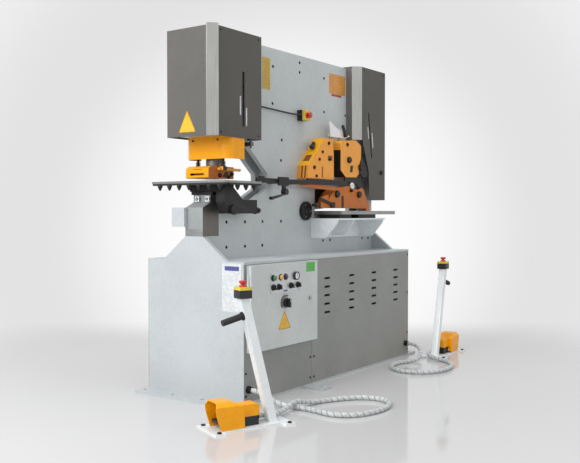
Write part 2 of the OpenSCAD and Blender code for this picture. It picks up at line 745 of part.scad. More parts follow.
// Rails under two edges of the table with hanging clamp knobs
knob_count = 7;
module clamp_knob(at, z) {
  translate([at[0], at[1], z - 8]) cylinder(h = 8, r = 13);
  translate([at[0], at[1], z - 26]) cylinder(h = 18, r1 = 4, r2 = 12);
}
module table_knobs() color(black) {
  rail_x = table_x[0] + 14;
  rail_z = table_z[0] - rail_t;
  front_rail_y = table_y[0] + rail_inset;
  block([rail_x - rail_w / 2, rail_x + rail_w / 2], [table_y[0] + rail_inset, table_y[1] - rail_inset],
    [rail_z, table_z[0]]);
  for (i = [0 : knob_count - 1])
    clamp_knob([rail_x, table_shift + (i - (knob_count - 1) / 2) * knob_pitch], rail_z);
  block([table_x[0] + 40, table_x[1] - 4], [front_rail_y, front_rail_y + rail_w], [rail_z, table_z[0]]);
  for (i = [0 : 2])
    clamp_knob([table_x[0] + 118 + i * knob_pitch, front_rail_y + rail_w / 2], rail_z);
}

// Black bracket on the front plate that carries the table
arm_y = [-162, -104];
module table_bracket() color(black) {
  plate_y([[punch_x - 116, table_z[0] - rail_t], [punch_x - 116, 1000], [punch_x - 96, 942],
    [punch_x + 150, 942], [punch_x + 150, 1014], [punch_x + 30, 1014],
    [punch_x - 50, 1080], [punch_x - 50, table_z[0]], [punch_x - 100, table_z[0]],
    [punch_x - 100, table_z[0] - rail_t]], arm_y);
  block([punch_x + 20, punch_x + 140], [arm_y[1], -frame_y], [950, 1000]);
  bar_y([arm_y[0] - 14, arm_y[0]], [punch_x - 52, 962], 26);
}

module table_lock_knob() color(black) {
  x0 = punch_x + 150.3;
  at = [(arm_y[0] + arm_y[1]) / 2, 958];
  bar_x([x0, x0 + 16], at, 12);
  translate([x0 + 16, at[0], at[1]]) rotate([0, 90, 0]) cylinder(h = 34, r1 = 20, r2 = 15);
  bar_x([x0 + 50, x0 + 56], at, 9);
  block([x0 + 20, x0 + 34], [at[0] - 28, at[0] + 28], [at[1] - 5, at[1] + 5]);
}

// Length gauge from the punch table to the shear station
gauge_x = [frame_left + 35, slot_x[1] + 48];
gauge_y = [-152, -140];
gauge_z = [table_z[1], 1134];
gauge_pivot = [-305, 1062];
module gauge_bar() color(black) {
  block([gauge_x[0], -60], gauge_y, gauge_z);
  block([-60, gauge_x[1]], gauge_y, [gauge_z[0] + 4, 1144]);
  block([gauge_x[0] + 30, gauge_x[0] + 70], gauge_y, [gauge_z[1], gauge_z[1] + 10]);
  // Feet to the front plate
  block([-330, -290], [gauge_y[1], -frame_y], [gauge_z[0], 1128]);
  block([-170, -130], [gauge_y[1], -frame_y], [gauge_z[0], 1128]);
  // Clamp block with the lever's boss
  block([-356, -264], [gauge_y[0] - 12, gauge_y[0]], [1096, 1144]);
  block([-318, -292], [gauge_y[0] - 12, gauge_y[0]], [1076, 1096]);
  bar_y([gauge_y[0] - 12, gauge_y[0]], gauge_pivot, 20);
}

module gauge_lever() color(black) {
  front = gauge_y[0] - 12.3;
  bar_y([front - 16, front], gauge_pivot, 17);
  plate_y([[gauge_pivot[0] - 6, gauge_pivot[1] - 16], [gauge_pivot[0] + 8, gauge_pivot[1] - 8],
    [gauge_pivot[0] - 132, gauge_pivot[1] - 30], [gauge_pivot[0] - 138, gauge_pivot[1] - 44]],
    [front - 13, front - 3]);
  bar_y([front - 20, front], [gauge_pivot[0] - 136, gauge_pivot[1] - 37], 9);
}

// ---------------------------------------------------------------- shear station

// Lower edge of the shear beam: a straight line that rises away from the pivot
function beam_edge(x) = 962 + (x - 150) * 0.0745;
hub_r = 105;
hub_y = gap_y - 2;
flat_blade_x = [160, 690];
flat_blade_h = 45;
blade_t = 12;
section_x = (slot_x[0] + slot_x[1]) / 2;
angle_z = 1318;
round_z = 1250;
square_z = 1204;

// The three openings for angle, round and square bars, with extra room all round
module bar_openings(y, room) {
  translate([section_x, y[1], angle_z]) rotate([90, 45, 0])
    linear_extrude(y[1] - y[0]) square(46 + 2 * room, center = true);
  bar_y(y, [section_x, round_z], 20 + room);
  block([section_x - 15 - room, section_x + 15 + room], y, [square_z - 15 - room, square_z + 15 + room]);
}

module flat_blade(y, room) {
  plate_y([[flat_blade_x[0] - room, beam_edge(flat_blade_x[0]) - 3],
    [flat_blade_x[1] + room, beam_edge(flat_blade_x[1]) - 3],
    [flat_blade_x[1] + room, beam_edge(flat_blade_x[1]) + flat_blade_h],
    [flat_blade_x[0] - room, beam_edge(flat_blade_x[0]) + flat_blade_h]], y);
}

module shear_beam() color(brown_steel) difference() {
  union() {
    plate_y([[pivot_x - 75, pivot_height + 60], [160, 1400], [430, 1400], [690, 1300],
      [shear_x + 23, 1290], [shear_x + 45, 1255], [shear_x + 45, 1190],
      [700, beam_edge(700) + 60], [700, beam_edge(700)], [150, beam_edge(150)],
      [pivot_x + 60, pivot_height - 60]], beam_y);
    bar_y(beam_y, [pivot_x, pivot_height], hub_r);
    bar_y([-hub_y, hub_y], [pivot_x, pivot_height], hub_r - 35);
  }
  bar_y([-hub_y - cut, hub_y + cut], [pivot_x, pivot_height], pivot_d / 2 + pivot_clearance);
  // Oblong eye for the clevis pin
  for (dx = [-24, 2])
    bar_y([beam_y[0] - cut, beam_y[1] + cut], [shear_x + dx, rod_end_z],
      clevis_pin_d / 2 + shear_stroke_room);
  block([shear_x - 24, shear_x + 2], [beam_y[0] - cut, beam_y[1] + cut],
    [rod_end_z - clevis_pin_d / 2 - shear_stroke_room, rod_end_z + clevis_pin_d / 2 + shear_stroke_room]);
  flat_blade([beam_y[0] - cut, beam_y[0] + blade_t], 0);
  block([slot_x[0], slot_x[1]], [beam_y[0] - cut, beam_y[0] + blade_t], [slot_z[0] + 10, slot_z[1] - 10]);
  bar_openings([beam_y[0] - cut, beam_y[1] + cut], 5);
}

module moving_blades() color(steel) {
  flat_blade([beam_y[0], beam_y[0] + blade_t], 0);
  difference() {
    block(slot_x, [beam_y[0], beam_y[0] + blade_t], [slot_z[0] + 10, slot_z[1] - 10]);
    bar_openings([beam_y[0] - cut, beam_y[0] + blade_t + cut], 0);
  }
}

module fixed_blades() color(steel) {
  block([flat_blade_x[0] - 5, flat_blade_x[1] + 5], fixed_y, [shear_table_top - 42, shear_table_top]);
  difference() {
    block([slot_x[0] - 12, slot_x[1] + 12], fixed_y, [slot_z[0] - 12, slot_z[1] + 12]);
    bar_openings([fixed_y[0] - cut, fixed_y[1] + cut], 0);
  }
}

head_t = 18;
module pivot_pin() color(black) difference() {
  union() {
    bar_y([-frame_y, frame_y], [pivot_x, pivot_height], pivot_d / 2);
    bar_y([-frame_y - head_t, -frame_y], [pivot_x, pivot_height], pivot_head_d / 2);
    bar_y([frame_y, frame_y + 12], [pivot_x, pivot_height], pivot_head_d / 2);
  }
  difference() {
    bar_y([-frame_y - head_t - cut, -frame_y - head_t + 5], [pivot_x, pivot_height], pivot_head_d / 2 - 12);
    bar_y([-frame_y - head_t - 2 * cut, -frame_y - head_t + 6], [pivot_x, pivot_height], 16);
  }
}

shear_cylinder_top = 1760;
shear_piston_z = [1660, 1705];
module shear_cylinder() color(frame_grey) {
  z0 = shear_seat_z;
  difference() {
    union() {
      bar_z([z0, shear_cylinder_top], [shear_x, 0], shear_cylinder_d / 2);
      bar_z([shear_cylinder_top, shear_cylinder_top + 20], [shear_x, 0], shear_cylinder_d / 2 - 25);
    }
    bar_z([z0 + gland_block, shear_cylinder_top - 30], [shear_x, 0], shear_cylinder_d / 2 - 18);
    bar_z([z0 - cut, z0 + gland_block + cut], [shear_x, 0], shear_rod_d / 2 + rod_clearance);
  }
}

module shear_rod() color(steel) {
  eye_z = rod_end_z + 72;
  cheek_y = [-gap_y + 1, beam_y[0] - 1];
  bar_z([eye_z, shear_piston_z[0]], [shear_x, 0], shear_rod_d / 2);
  bar_z(shear_piston_z, [shear_x, 0], shear_cylinder_d / 2 - 19);
  block([shear_x - 26, shear_x + 26], cheek_y, [rod_end_z, eye_z]);
  bar_y(cheek_y, [shear_x, rod_end_z], 26);
  bar_y([cheek_y[1], beam_y[1] + 3], [shear_x, rod_end_z], clevis_pin_d / 2);
}

// Guards are boxes of sheet, open towards the frame plate
function shrink(outline, c, k) = [for (p = outline) [c[0] + (p[0] - c[0]) * k, c[1] + (p[1] - c[1]) * k]];
module guard_shell(outline, c, k) {
  difference() {
    plate_y(outline, [guard_front, -frame_y]);
    plate_y(shrink(outline, c, k), [guard_front + sheet_t, -frame_y + cut]);
  }
}
guard_wall = [guard_front - cut, guard_front + sheet_t + cut];

module angle_guard() color(orange) difference() {
  guard_shell([[-39, 1148], [-29, 1224], [142, 1394], [232, 1395], [244, 1300], [244, 1148]],
    [120, 1250], 0.965);
  for (h = [[188, 1366, 12], [84, 1264, 6], [118, 1310, 7], [196, 1270, 13], [30, 1214, 12], [52, 1164, 8]])
    bar_y(guard_wall, [h[0], h[1]], h[2]);
  block([112, 118], guard_wall, [1156, 1214]);
}

module bar_guard() color(orange) difference() {
  guard_shell([[324, 1378], [324, 1210], [383, 1168], [517, 1171], [553, 1205], [532, 1245],
    [572, 1265], [572, 1375], [505, 1407], [340, 1392]], [440, 1290], 0.965);
  bar_y(guard_wall, [404, 1372], 13);
  block([451, 463], guard_wall, [1203, 1241]);
}

module lower_guard() color(dark_orange) difference() {
  union() {
    guard_shell([[185, shear_table_top], [185, 1020], [215, 1050], [268, 1086], [300, 1101],
      [420, 1113], [480, 1100], [530, 1089], [580, 1106], [607, 1094], [646, 1028],
      [680, 1003], [686, shear_table_top]], [390, 1020], 0.972);
    plate_y([[-118, 1100], [-118, 1119], [110, 1112], [310, 1101], [268, 1080]],
      [guard_front, guard_front + sheet_t]);
  }
  block([342, 352], guard_wall, [975, 1050]);
  block([120, 640], [guard_front - cut, -frame_y + cut],
    [shear_table_top - cut, shear_table_top + flat_bar_room]);
}

module shield() color(pale_grey) {
  plate_y([[249, 1508], [262, 1414], [430, 1414], [485, 1430], [440, 1446], [330, 1472]], [-106, -100]);
  block([300, 330], [-100, -frame_y], [1418, 1440]);
  block([410, 440], [-100, -frame_y], [1418, 1436]);
}

lever_hub = [418, 1430];
module hold_down_lever() color(black) {
  bar_y([-126, -106.3], lever_hub, 11);
  plate_y([[lever_hub[0] - 4, lever_hub[1] - 10], [lever_hub[0] + 9, lever_hub[1] + 4],
    [lever_hub[0] - 32, lever_hub[1] + 66], [lever_hub[0] - 46, lever_hub[1] + 58]], [-124, -112]);
}

module shear_table() color(steel) difference() {
  union() {
    block([slot_x[0] - 101, slot_x[0] - 101 + shear_table_length],
      [-frame_y - shear_table_width, -frame_y], [table_foot_z[1], shear_table_top]);
    block([165, 300], [-frame_y - shear_table_width + 30, -90], table_foot_z);
    block([380, 600], [-frame_y - shear_table_width + 30, -90], table_foot_z);
  }
  // Two grooves for the stop
  for (x = [300, 560])
    block([x, x + 12], [-frame_y - shear_table_width - cut, -frame_y - 30],
      [shear_table_top - 5, shear_table_top + cut]);
}

gusset_t = 12;
gusset_reach = 190;
module shear_bracket() color(pale_grey) {
  gusset = [[-frame_y, bracket_z], [-frame_y - gusset_reach, bracket_z],
    [-frame_y - gusset_reach + 5, bracket_z - 18], [-frame_y - 107, bracket_z - 107],
    [-frame_y, bracket_z - 109]];
  block([bracket_x[0], bracket_x[1] + 18], [-frame_y - gusset_reach, -frame_y],
    [bracket_z, table_foot_z[0]]);
  block(bracket_x, [-frame_y - 8, -frame_y], [bracket_z - 109, bracket_z]);
  for (x = [bracket_x[0], bracket_x[1] - gusset_t]) plate_x(gusset, [x, x + gusset_t]);
  plate_x(shrink(gusset, [-frame_y, bracket_z], 0.9), [330, 340]);
}

// ---------------------------------------------------------------- control box

tub_depth = 150;
module hinge_knuckle(z, r) {
  bar_z(z, [hinge_x, hinge_y], r);
}

module control_box() color(frame_grey) {
  difference() {
    union() {
      block(door_x, [box_y, panel_y[0]], door_z);
      block([inner_left + 5, panel_seam - 32], [y_front, y_front + tub_depth],
        [door_z[0] + 14, door_z[1] - 10]);
    }
    block([inner_left + 8, panel_seam - 35], [box_y - cut, y_front + tub_depth - 3],
      [door_z[0] + 17, door_z[1] - 13]);
  }
  for (h = hinge_heights) {
    difference() {
      union() {
        hinge_knuckle([h, h + knuckle - 0.5], hinge_r);
        block([hinge_x, door_x[0]], [box_y, box_y + 5], [h, h + knuckle - 0.5]);
        block([hinge_x - 2, hinge_x + 2], [hinge_y, box_y + 5], [h, h + knuckle - 0.5]);
      }
    }
    hinge_knuckle([h + knuckle - 0.5, h + 2 * knuckle], hinge_pin_r);
  }
}

module control_door() color(frame_grey) difference() {
  union() {
    difference() {
      block(door_x, [door_front, door_back], door_z);
      block([door_x[0] + 2, door_x[1] - 2], [door_front + 2, door_back + cut],
        [door_z[0] + 2, door_z[1] - 2]);
    }
    for (h = hinge_heights) {
      hinge_knuckle([h + knuckle, h + 2 * knuckle], hinge_r);
      block([hinge_x, door_x[0] + 1], [door_back - 5, door_back - 2], [h + knuckle, h + 2 * knuckle]);
    }
  }
  for (h = hinge_heights)
    hinge_knuckle([h + knuckle - cut, h + 2 * knuckle + cut], hinge_pin_r + hinge_clearance);
  control_holes([door_front - cut, door_front + 2 + cut]);
  bar_y([door_front - cut, door_front + 2 + cut], switch_at, stem_r + 0.5);
  bar_y([door_front - cut, door_front + 2 + cut], lock_at, stem_r + 0.5);
}

stem_r = 4;
stem_length = 14;
function control_place(at) = [controls_x + at[0], controls_z + at[1]];
module control_holes(y) {
  bar_y(y, control_place(start_at), stem_r + 0.5);
  for (at = selector_at) bar_y(y, control_place(at), stem_r + 0.5);
}

module control_panel() color(steel) {
  difference() {
    union() {
      block([controls_x - 131, controls_x + 131], [panel_face, door_front],
        [controls_z - 55, controls_z + 55]);
      for (at = concat([start_at], selector_at, lamp_at))
        bar_y([panel_face - 3, panel_face], control_place(at), button_d / 2 + 3);
      bar_y([panel_face - 12, panel_face], control_place(gauge_at), 22);
      for (at = lamp_at) bar_y([panel_face - 11, panel_face - 3], control_place(at), button_d / 2 - 2);
    }
    control_holes([panel_face - 3 - cut, door_front + cut]);
  }
  // Escutcheon of the main switch
  difference() {
    bar_y([door_front - 4, door_front], switch_at, 32);
    bar_y([door_front - 4 - cut, door_front + cut], switch_at, stem_r + 0.5);
  }
}

module start_button() color([0.1, 0.5, 0.25]) {
  bar_y([panel_face - 18, panel_face - 3.4 - button_travel], control_place(start_at), button_d / 2 - 2);
  bar_y([panel_face - 3.4 - button_travel, panel_face + stem_length], control_place(start_at), stem_r);
}

module selector(i) color(black) {
  at = control_place(selector_at[i]);
  bar_y([panel_face - 10, panel_face - 3.3], at, button_d / 2 - 1);
  block([at[0] - 4, at[0] + 4], [panel_face - 22, panel_face - 10], [at[1] - 12, at[1] + 12]);
  bar_y([panel_face - 3.3, panel_face + stem_length], at, stem_r);
}
module selector_1() { selector(0); }
module selector_2() { selector(1); }
module selector_3() { selector(2); }
module selector_4() { selector(3); }

module main_switch() color(black) {
  bar_y([door_front - 16, door_front - 4.3], switch_at, 24);
  block([switch_at[0] - 7, switch_at[0] + 7], [door_front - 34, door_front - 16],
    [switch_at[1] - 23, switch_at[1] + 23]);
  bar_y([door_front - 4.3, door_front + stem_length], switch_at, stem_r);
}

module door_lock() color(steel) {
  bar_y([door_front - 9, door_front - 0.3], lock_at, 10);
  bar_y([door_front - 0.3, door_front + 8], lock_at, stem_r);
  block([lock_at[0] - 5, lock_at[0] + 5], [door_front + 6, door_front + 8], [lock_at[1] - 5, lock_at[1] + 26]);
}

// ---------------------------------------------------------------- emergency stops

estop_collar_h = 8;
estop_gap = button_travel + 1;
// Box that stands on the plane z = 0, with its button axis along Z
module estop_box() {
  difference() {
    union() {
      block([-estop_w / 2, estop_w / 2], [-estop_w / 2, estop_w / 2], [0, estop_box_h]);
      bar_z([estop_box_h, estop_box_h + estop_collar_h], [0, 0], 17);
    }
    bar_z([estop_box_h - 14, estop_box_h + estop_collar_h + cut], [0, 0], 8.5);
  }
}
module estop_button() color([0.75, 0.07, 0.08]) {
  z = estop_box_h + estop_collar_h + estop_gap;
  bar_z([estop_box_h - 8, z], [0, 0], 8);
  translate([0, 0, z]) cylinder(h = 5, r1 = 13, r2 = estop_d / 2);
  translate([0, 0, z + 5]) cylinder(h = 10, r = estop_d / 2);
}
module on_plate() {
  translate([plate_estop[0], -frame_y, plate_estop[1]]) rotate([90, 0, 0]) children();
}
module left_place() { translate([left_console[0], left_console[1], 0]) rotate([0, 0, left_turn]) children(); }
module right_place() { translate([right_console[0], right_console[1], 0]) rotate([0, 0, right_turn]) children(); }
post_top_u = post_u - tan(post_lean) * (post_height - base_t);
module on_post() { translate([post_top_u, 0, post_height]) children(); }

lead_end = [lead_route[len(lead_route) - 1][1], lead_route[len(lead_route) - 1][2]];
module estop_boxes() color([0.9, 0.75, 0.1]) {
  on_plate() estop_box();
  left_place() on_post() estop_box();
  right_place() on_post() estop_box();
  difference() {
    bar_x([plate_estop[0] - estop_w / 2 - 28, plate_estop[0] - estop_w / 2], lead_end, 9);
    bar_x([plate_estop[0] - estop_w / 2 - 28 - cut, plate_estop[0] - estop_w / 2 - 10], lead_end, lead_d / 2 + 1);
  }
}
module plate_estop_button() { on_plate() estop_button(); }
module left_estop_button() { left_place() on_post() estop_button(); }
module right_estop_button() { right_place() on_post() estop_button(); }
module estop_lead() color(black) tube(lead_route, lead_d);

// ---------------------------------------------------------------- pedal consoles

ear_u = [150, 205];
wall_t = 3;
grip_r = 14;
grip_length = 105;
grip_z = 496;
grip_u = post_u - tan(post_lean) * (grip_z - base_t);

module leaning_prism(w) {
  translate([post_u, 0, base_t]) rotate([0, -post_lean, 0])
    block([-w / 2, w / 2], [-w / 2, w / 2], [-60, post_height + 60]);
}

module stand() {
  half = console_width / 2;
  difference() {
    union() {
      block([-console_length / 2, console_length / 2], [-hood_w / 2 - 2, hood_w / 2 + 2], [0, base_t]);
      for (s = [-1, 1]) {
        e = s * (console_length / 2 - 27);
        block([e - 27, e + 27], [-half, half], [0, base_t]);
      }
      intersection() {
        leaning_prism(post_w);
        block([-300, 300], [-100, 100], [base_t, post_height]);
      }
    }
    difference() {
      leaning_prism(post_w - 2 * wall_t);
      block([-300, 300], [-100, 100], [-100, base_t]);
    }
    for (u = [-1, 1], v = [-1, 1])
      bar_z([-cut, base_t + cut], [u * (console_length / 2 - 25), v * (half - 15)], 6);
  }
}

module grip() {
  translate([grip_u, 0, grip_z]) rotate([0, -90 - post_lean, 0]) {
    bar_z([post_w / 2, post_w / 2 + 6], [0, 0], 20);
    bar_z([post_w / 2 + 6, grip_length + 20], [0, 0], grip_r);
  }
}

module pedal_stands() {
  color(pale_grey) { left_place() stand(); right_place() stand(); }
  color(black) { left_place() grip(); right_place() grip(); }
}

// Side profile of the hood, in u and z; a wall t leaves the inner one, open at the mouth
function hood_side(t) =
  let (m = t > 0 ? 40 : 0, low = base_t - (t > 0 ? cut : 0))
  [[-154 - m, low], [-174 - m, 70], [-180 - m, hood_h - 26 - t], [-170 - m, hood_h - t],
   [-96 - t / 2, hood_h - t], [-60 - t, hood_h - 24], [-42 - t, 100 - t], [-38 - t, low]];
function hood_section(t) = [
  [-hood_w / 2 + t, 0], [-hood_w / 2 + t, hood_h - 20], [-hood_w / 2 + 16 + t / 2, hood_h - t],
  [hood_w / 2 - 16 - t / 2, hood_h - t], [hood_w / 2 - t, hood_h - 20], [hood_w / 2 - t, 0]
];
module hood_form(t) {
  intersection() {
    plate_y(hood_side(t), [-hood_w / 2, hood_w / 2]);
    plate_x(hood_section(t), [-260, 0]);
  }
}
body_z = 50;
body_v = 36;
module hood() {
  difference() {
    union() {
      hood_form(0);
      plate_y([[-46, body_z], [-46, 104], [36, 104], [46, 94], [46, body_z]], [-34, 34]);
    }
    hood_form(4);
    block([-60, -30], [-body_v + 4, body_v - 4], [base_t - cut, body_z]);
    block([-60, -30], [-hood_w / 2 + 4, hood_w / 2 - 4], [base_t - cut, base_t + 6.3]);
    block([-60, 42], [-30, 30], [body_z - cut, 90]);
  }
}
module pedal_hoods() color(orange) { left_place() hood(); right_place() hood(); }

axle_u = -50;
axle_z = 36;
cheek_v = [46, 51];
module pedal_body(gland_v) {
  difference() {
    union() {
      block([-34, 44], [-body_v + 4.3, body_v - 4.3], [base_t, body_z]);
      block([-42, 44], [-body_v + 4.3, body_v - 4.3], [base_t, base_t + 8]);
      block([axle_u - 8, -34], [-cheek_v[1], cheek_v[1]], [base_t, base_t + 6]);
      both_sides() block([axle_u - 8, axle_u + 5], cheek_v, [base_t + 6, axle_z + 8]);
      bar_x([44, 70], [gland_v, 32], 18);
    }
    bar_x([54, 71], [gland_v, 32], cable_r + 2.5);
    bar_y([-60, 60], [axle_u, axle_z], 4.05);
  }
}
module pedal_bodies() color(black) {
  left_place() pedal_body(26);
  right_place() pedal_body(-26);
}

module treadle() color(black) {
  plate_y([[-152, 30], [-150, 42], [-100, 44], [axle_u + 5, 42], [axle_u + 5, 31], [-100, 34]], [-44, 44]);
  bar_y([-cheek_v[1], cheek_v[1]], [axle_u, axle_z], 4);
}
module left_treadle() { left_place() treadle(); }
module right_treadle() { right_place() treadle(); }

module left_cable() color([0.8, 0.82, 0.82]) tube(left_route, cable_d);
module right_cable() color([0.8, 0.82, 0.82]) tube(right_route, cable_d);

// ---------------------------------------------------------------- screws and glands

module panel_screw(x, z) {
  bar_y([panel_y[0] - 3, panel_y[0]], [x, z], 6);
}
module gland(at) {
  y0 = panel_y[0];
  difference() {
    union() {
      bar_y([y0 - gland_length, y0], at, cable_r + 4);
      bar_y([y0 - gland_length / 3, y0], at, cable_r + 7);
    }
    bar_y([y0 - gland_length - cut, y0 - gland_length / 2], at, cable_r + 1);
  }
}
module screws_and_glands() color(black) {
  for (h = plate_holes)
    bar_y([-frame_y + plate_hole_depth - 5, -frame_y + plate_hole_depth], h, plate_hole_d / 2 - 1);
  for (x = [x_left + 13, panel_seam - 15, panel_seam + 22, x_right - 13], z = [44, 156])
    panel_screw(x, z);
  for (x = [panel_seam + 22, x_right - 13], z = [420, 670]) panel_screw(x, z);
  gland(left_gland);
  gland(right_gland);
  for (y = bolster_bolt_y) bar_x([bolster_x[0] - 9, bolster_x[0]], [y, 1017], 13);
  for (k = [[420, 1277, 20], [279, 1061, 22], [445, 1086, 12], [544, 1062, 21]])
    bar_y([guard_front - 10, guard_front], [k[0], k[1]], k[2]);
  bar_y([-shear_cover_y - 10, -shear_cover_y], [816, 1212], 14);
  half = console_width / 2;
  for (u = [-1, 1], v = [-1, 1]) {
    left_place() bar_z([base_t, base_t + 6], [u * (console_length / 2 - 25), v * (half - 15)], 10);
    right_place() bar_z([base_t, base_t + 6], [u * (console_length / 2 - 25), v * (half - 15)], 10);
  }
}

// ---------------------------------------------------------------- what is drawn
base_frame();
cabinet_panels();
screws_and_glands();
main_frame();
frame_plate_front();
frame_plate_rear();
jaw_block();
slug_box();
power_pack();
punch_cylinder();
punch_ram();
punch();
die();
die_holder();
punch_guard();
stripper();
punch_cover();
cover_trims();
punch_table();
table_knobs();
table_bracket();
table_lock_knob();
gauge_bar();
gauge_lever();
shear_beam();
pivot_pin();
moving_blades();
fixed_blades();
angle_guard();
bar_guard();
lower_guard();
shear_table();
shear_bracket();
shear_cover();
shear_cylinder();
shear_rod();
shield();
hold_down_lever();
control_box();
control_door();
control_panel();
start_button();
selector_1();
selector_2();
selector_3();
selector_4();
main_switch();
door_lock();
estop_boxes();
plate_estop_button();
left_estop_button();
right_estop_button();
estop_lead();
pedal_stands();
pedal_hoods();
pedal_bodies();
left_treadle();
right_treadle();
left_cable();
right_cable();
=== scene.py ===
"""Punching and shearing machine: the visual model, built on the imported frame."""
import json
import math

import bpy
import bmesh
from mathutils import Matrix, Vector

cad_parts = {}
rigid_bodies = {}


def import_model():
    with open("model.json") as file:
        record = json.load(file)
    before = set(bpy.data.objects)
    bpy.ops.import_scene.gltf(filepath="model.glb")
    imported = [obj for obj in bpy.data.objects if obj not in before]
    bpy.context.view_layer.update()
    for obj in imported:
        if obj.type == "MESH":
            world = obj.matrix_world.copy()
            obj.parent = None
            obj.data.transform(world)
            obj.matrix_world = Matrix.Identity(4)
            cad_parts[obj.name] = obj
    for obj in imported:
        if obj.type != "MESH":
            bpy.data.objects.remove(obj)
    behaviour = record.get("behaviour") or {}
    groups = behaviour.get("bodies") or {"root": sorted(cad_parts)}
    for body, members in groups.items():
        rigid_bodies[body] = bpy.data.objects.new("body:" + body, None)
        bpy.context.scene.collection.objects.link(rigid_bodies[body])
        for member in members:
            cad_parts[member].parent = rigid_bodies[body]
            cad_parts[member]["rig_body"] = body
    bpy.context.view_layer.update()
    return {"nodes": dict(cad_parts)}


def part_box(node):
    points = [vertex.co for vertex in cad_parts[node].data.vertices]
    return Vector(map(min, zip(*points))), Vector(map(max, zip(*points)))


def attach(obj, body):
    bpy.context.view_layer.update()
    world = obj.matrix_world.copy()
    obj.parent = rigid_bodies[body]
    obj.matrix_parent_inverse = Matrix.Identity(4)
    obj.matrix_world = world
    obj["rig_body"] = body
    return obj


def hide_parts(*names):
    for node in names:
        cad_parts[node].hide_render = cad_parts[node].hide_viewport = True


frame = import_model()
scene = bpy.context.scene
MM = 0.001
X, Y, Z = 0, 1, 2
FRONT, LEFT, UP, RIGHT = (0, -1, 0), (-1, 0, 0), (0, 0, 1), (1, 0, 0)


# ------------------------------------------------------------------ camera

EYE = Vector((-3.9535, -2.7938, 0.950))
LOOK = Vector((0.81479, 0.57925, -0.02407))
LENS = 50.26
SENSOR = 36.0


def link(name, data):
    """Adds an object to the scene."""
    made = bpy.data.objects.new(name, data)
    scene.collection.objects.link(made)
    return made


def aim(data, place, way):
    """Adds a camera or a lamp at a place, facing along a direction."""
    made = link(data.name, data)
    made.location = place
    made.rotation_euler = way.to_track_quat("-Z", "Y").to_euler()
    return made


def make_camera():
    """Camera off the left front corner of the machine, at about the height of its tables."""
    data = bpy.data.cameras.new("camera")
    data.sensor_width = SENSOR
    data.lens = LENS
    scene.camera = aim(data, EYE, LOOK)


make_camera()


# ------------------------------------------------------------------ shader maths

def operator(operation):
    """An operator and its reflected form, each of them one Math node."""
    return (lambda value, other: value.math(operation, value, other),
            lambda value, other: value.math(operation, other, value))


class Value:
    """A socket in a node tree, with operators that add Math nodes."""

    __add__, __radd__ = operator("ADD")
    __sub__, __rsub__ = operator("SUBTRACT")
    __mul__, __rmul__ = operator("MULTIPLY")
    __truediv__, __rtruediv__ = operator("DIVIDE")
    __mod__, __rmod__ = operator("FLOORED_MODULO")

    def __init__(self, nodes, socket):
        self.nodes = nodes
        self.socket = socket

    def math(self, operation, first, second):
        return self.nodes.node("ShaderNodeMath", {"operation": operation}, {0: first, 1: second})

    def most(self, other):
        return self.math("MAXIMUM", self, other)

    def also(self, output):
        """Another output of the same node."""
        return Value(self.nodes, self.socket.node.outputs[output])


class Nodes:
    """A node tree under construction: every node comes from one method."""

    def __init__(self, tree):
        self.tree = tree

    def node(self, kind, settings=None, sockets=None, output=0):
        """Adds a node, its settings first, and gives one of its outputs, or itself for None."""
        made = self.tree.nodes.new(kind)
        for key, value in (settings or {}).items():
            setattr(made, key, value)
        for key, value in (sockets or {}).items():
            self.plug(made.inputs[key], value)
        return made if output is None else Value(self, made.outputs[output])

    def plug(self, socket, value):
        if isinstance(value, Value):
            self.tree.links.new(value.socket, socket)
        elif isinstance(value, tuple) and len(value) == 3 and socket.type == "RGBA":
            socket.default_value = (*value, 1.0)
        else:
            socket.default_value = value

    def vector(self, operation, *values, output="Vector"):
        return self.node("ShaderNodeVectorMath", {"operation": operation},
                         dict(enumerate(values)), output)

    def step(self, value, low, high):
        return self.node("ShaderNodeMapRange", {"interpolation_type": "SMOOTHSTEP"}, {
            "Value": value, "From Min": low, "From Max": high})

    def blend(self, factor, first, second):
        """Mix of two colours; a Mix node has its colours at sockets 6 and 7 and output 2."""
        return self.node("ShaderNodeMix", {"data_type": "RGBA"}, {
            0: factor, 6: first, 7: second}, 2)


class Finish(Nodes):
    """A material, with patterns in the machine's own coordinates, in metres."""

    def __init__(self, name, **sockets):
        self.material = bpy.data.materials.new(name)
        self.material.use_nodes = True
        super().__init__(self.material.node_tree)
        self.tree.nodes.clear()
        self.shader = self.node("ShaderNodeBsdfPrincipled")
        self.output = self.node("ShaderNodeOutputMaterial", {}, {"Surface": self.shader}, None)
        self.feed(**sockets)

    def feed(self, **sockets):
        """Feeds the shader's sockets, with _ for each space in a name."""
        for name, value in sockets.items():
            self.plug(self.shader.socket.node.inputs[name.replace("_", " ")], value)

    def place(self, stretch=(1.0, 1.0, 1.0), turn=(0.0, 0.0, 0.0), shift=(0.0, 0.0, 0.0)):
        here = self.node("ShaderNodeTexCoord", output="Object")
        return self.node("ShaderNodeMapping", {}, {
            "Vector": here, "Location": shift, "Rotation": turn, "Scale": stretch})

    def axes(self, vector):
        first = self.node("ShaderNodeSeparateXYZ", {}, {0: vector})
        return [first.also(axis) for axis in (X, Y, Z)]

    def clouds(self, vector, scale, detail=3.0, rough=0.55):
        return self.node("ShaderNodeTexNoise", {}, {
            "Vector": vector, "Scale": scale, "Detail": detail, "Roughness": rough})

    def relief(self, height, depth, strength):
        return self.node("ShaderNodeBump", {}, {
            "Height": height, "Distance": depth, "Strength": strength})


def rgb(red, green, blue):
    """Linear colour from a colour as it is written, 0 to 255."""
    return tuple(
        (c / 255 / 12.92) if c <= 10 else ((c / 255 + 0.055) / 1.055) ** 2.4
        for c in (red, green, blue))


def shade(colour, factor):
    return tuple(min(1.0, c * factor) for c in colour)


# ------------------------------------------------------------------ finishes

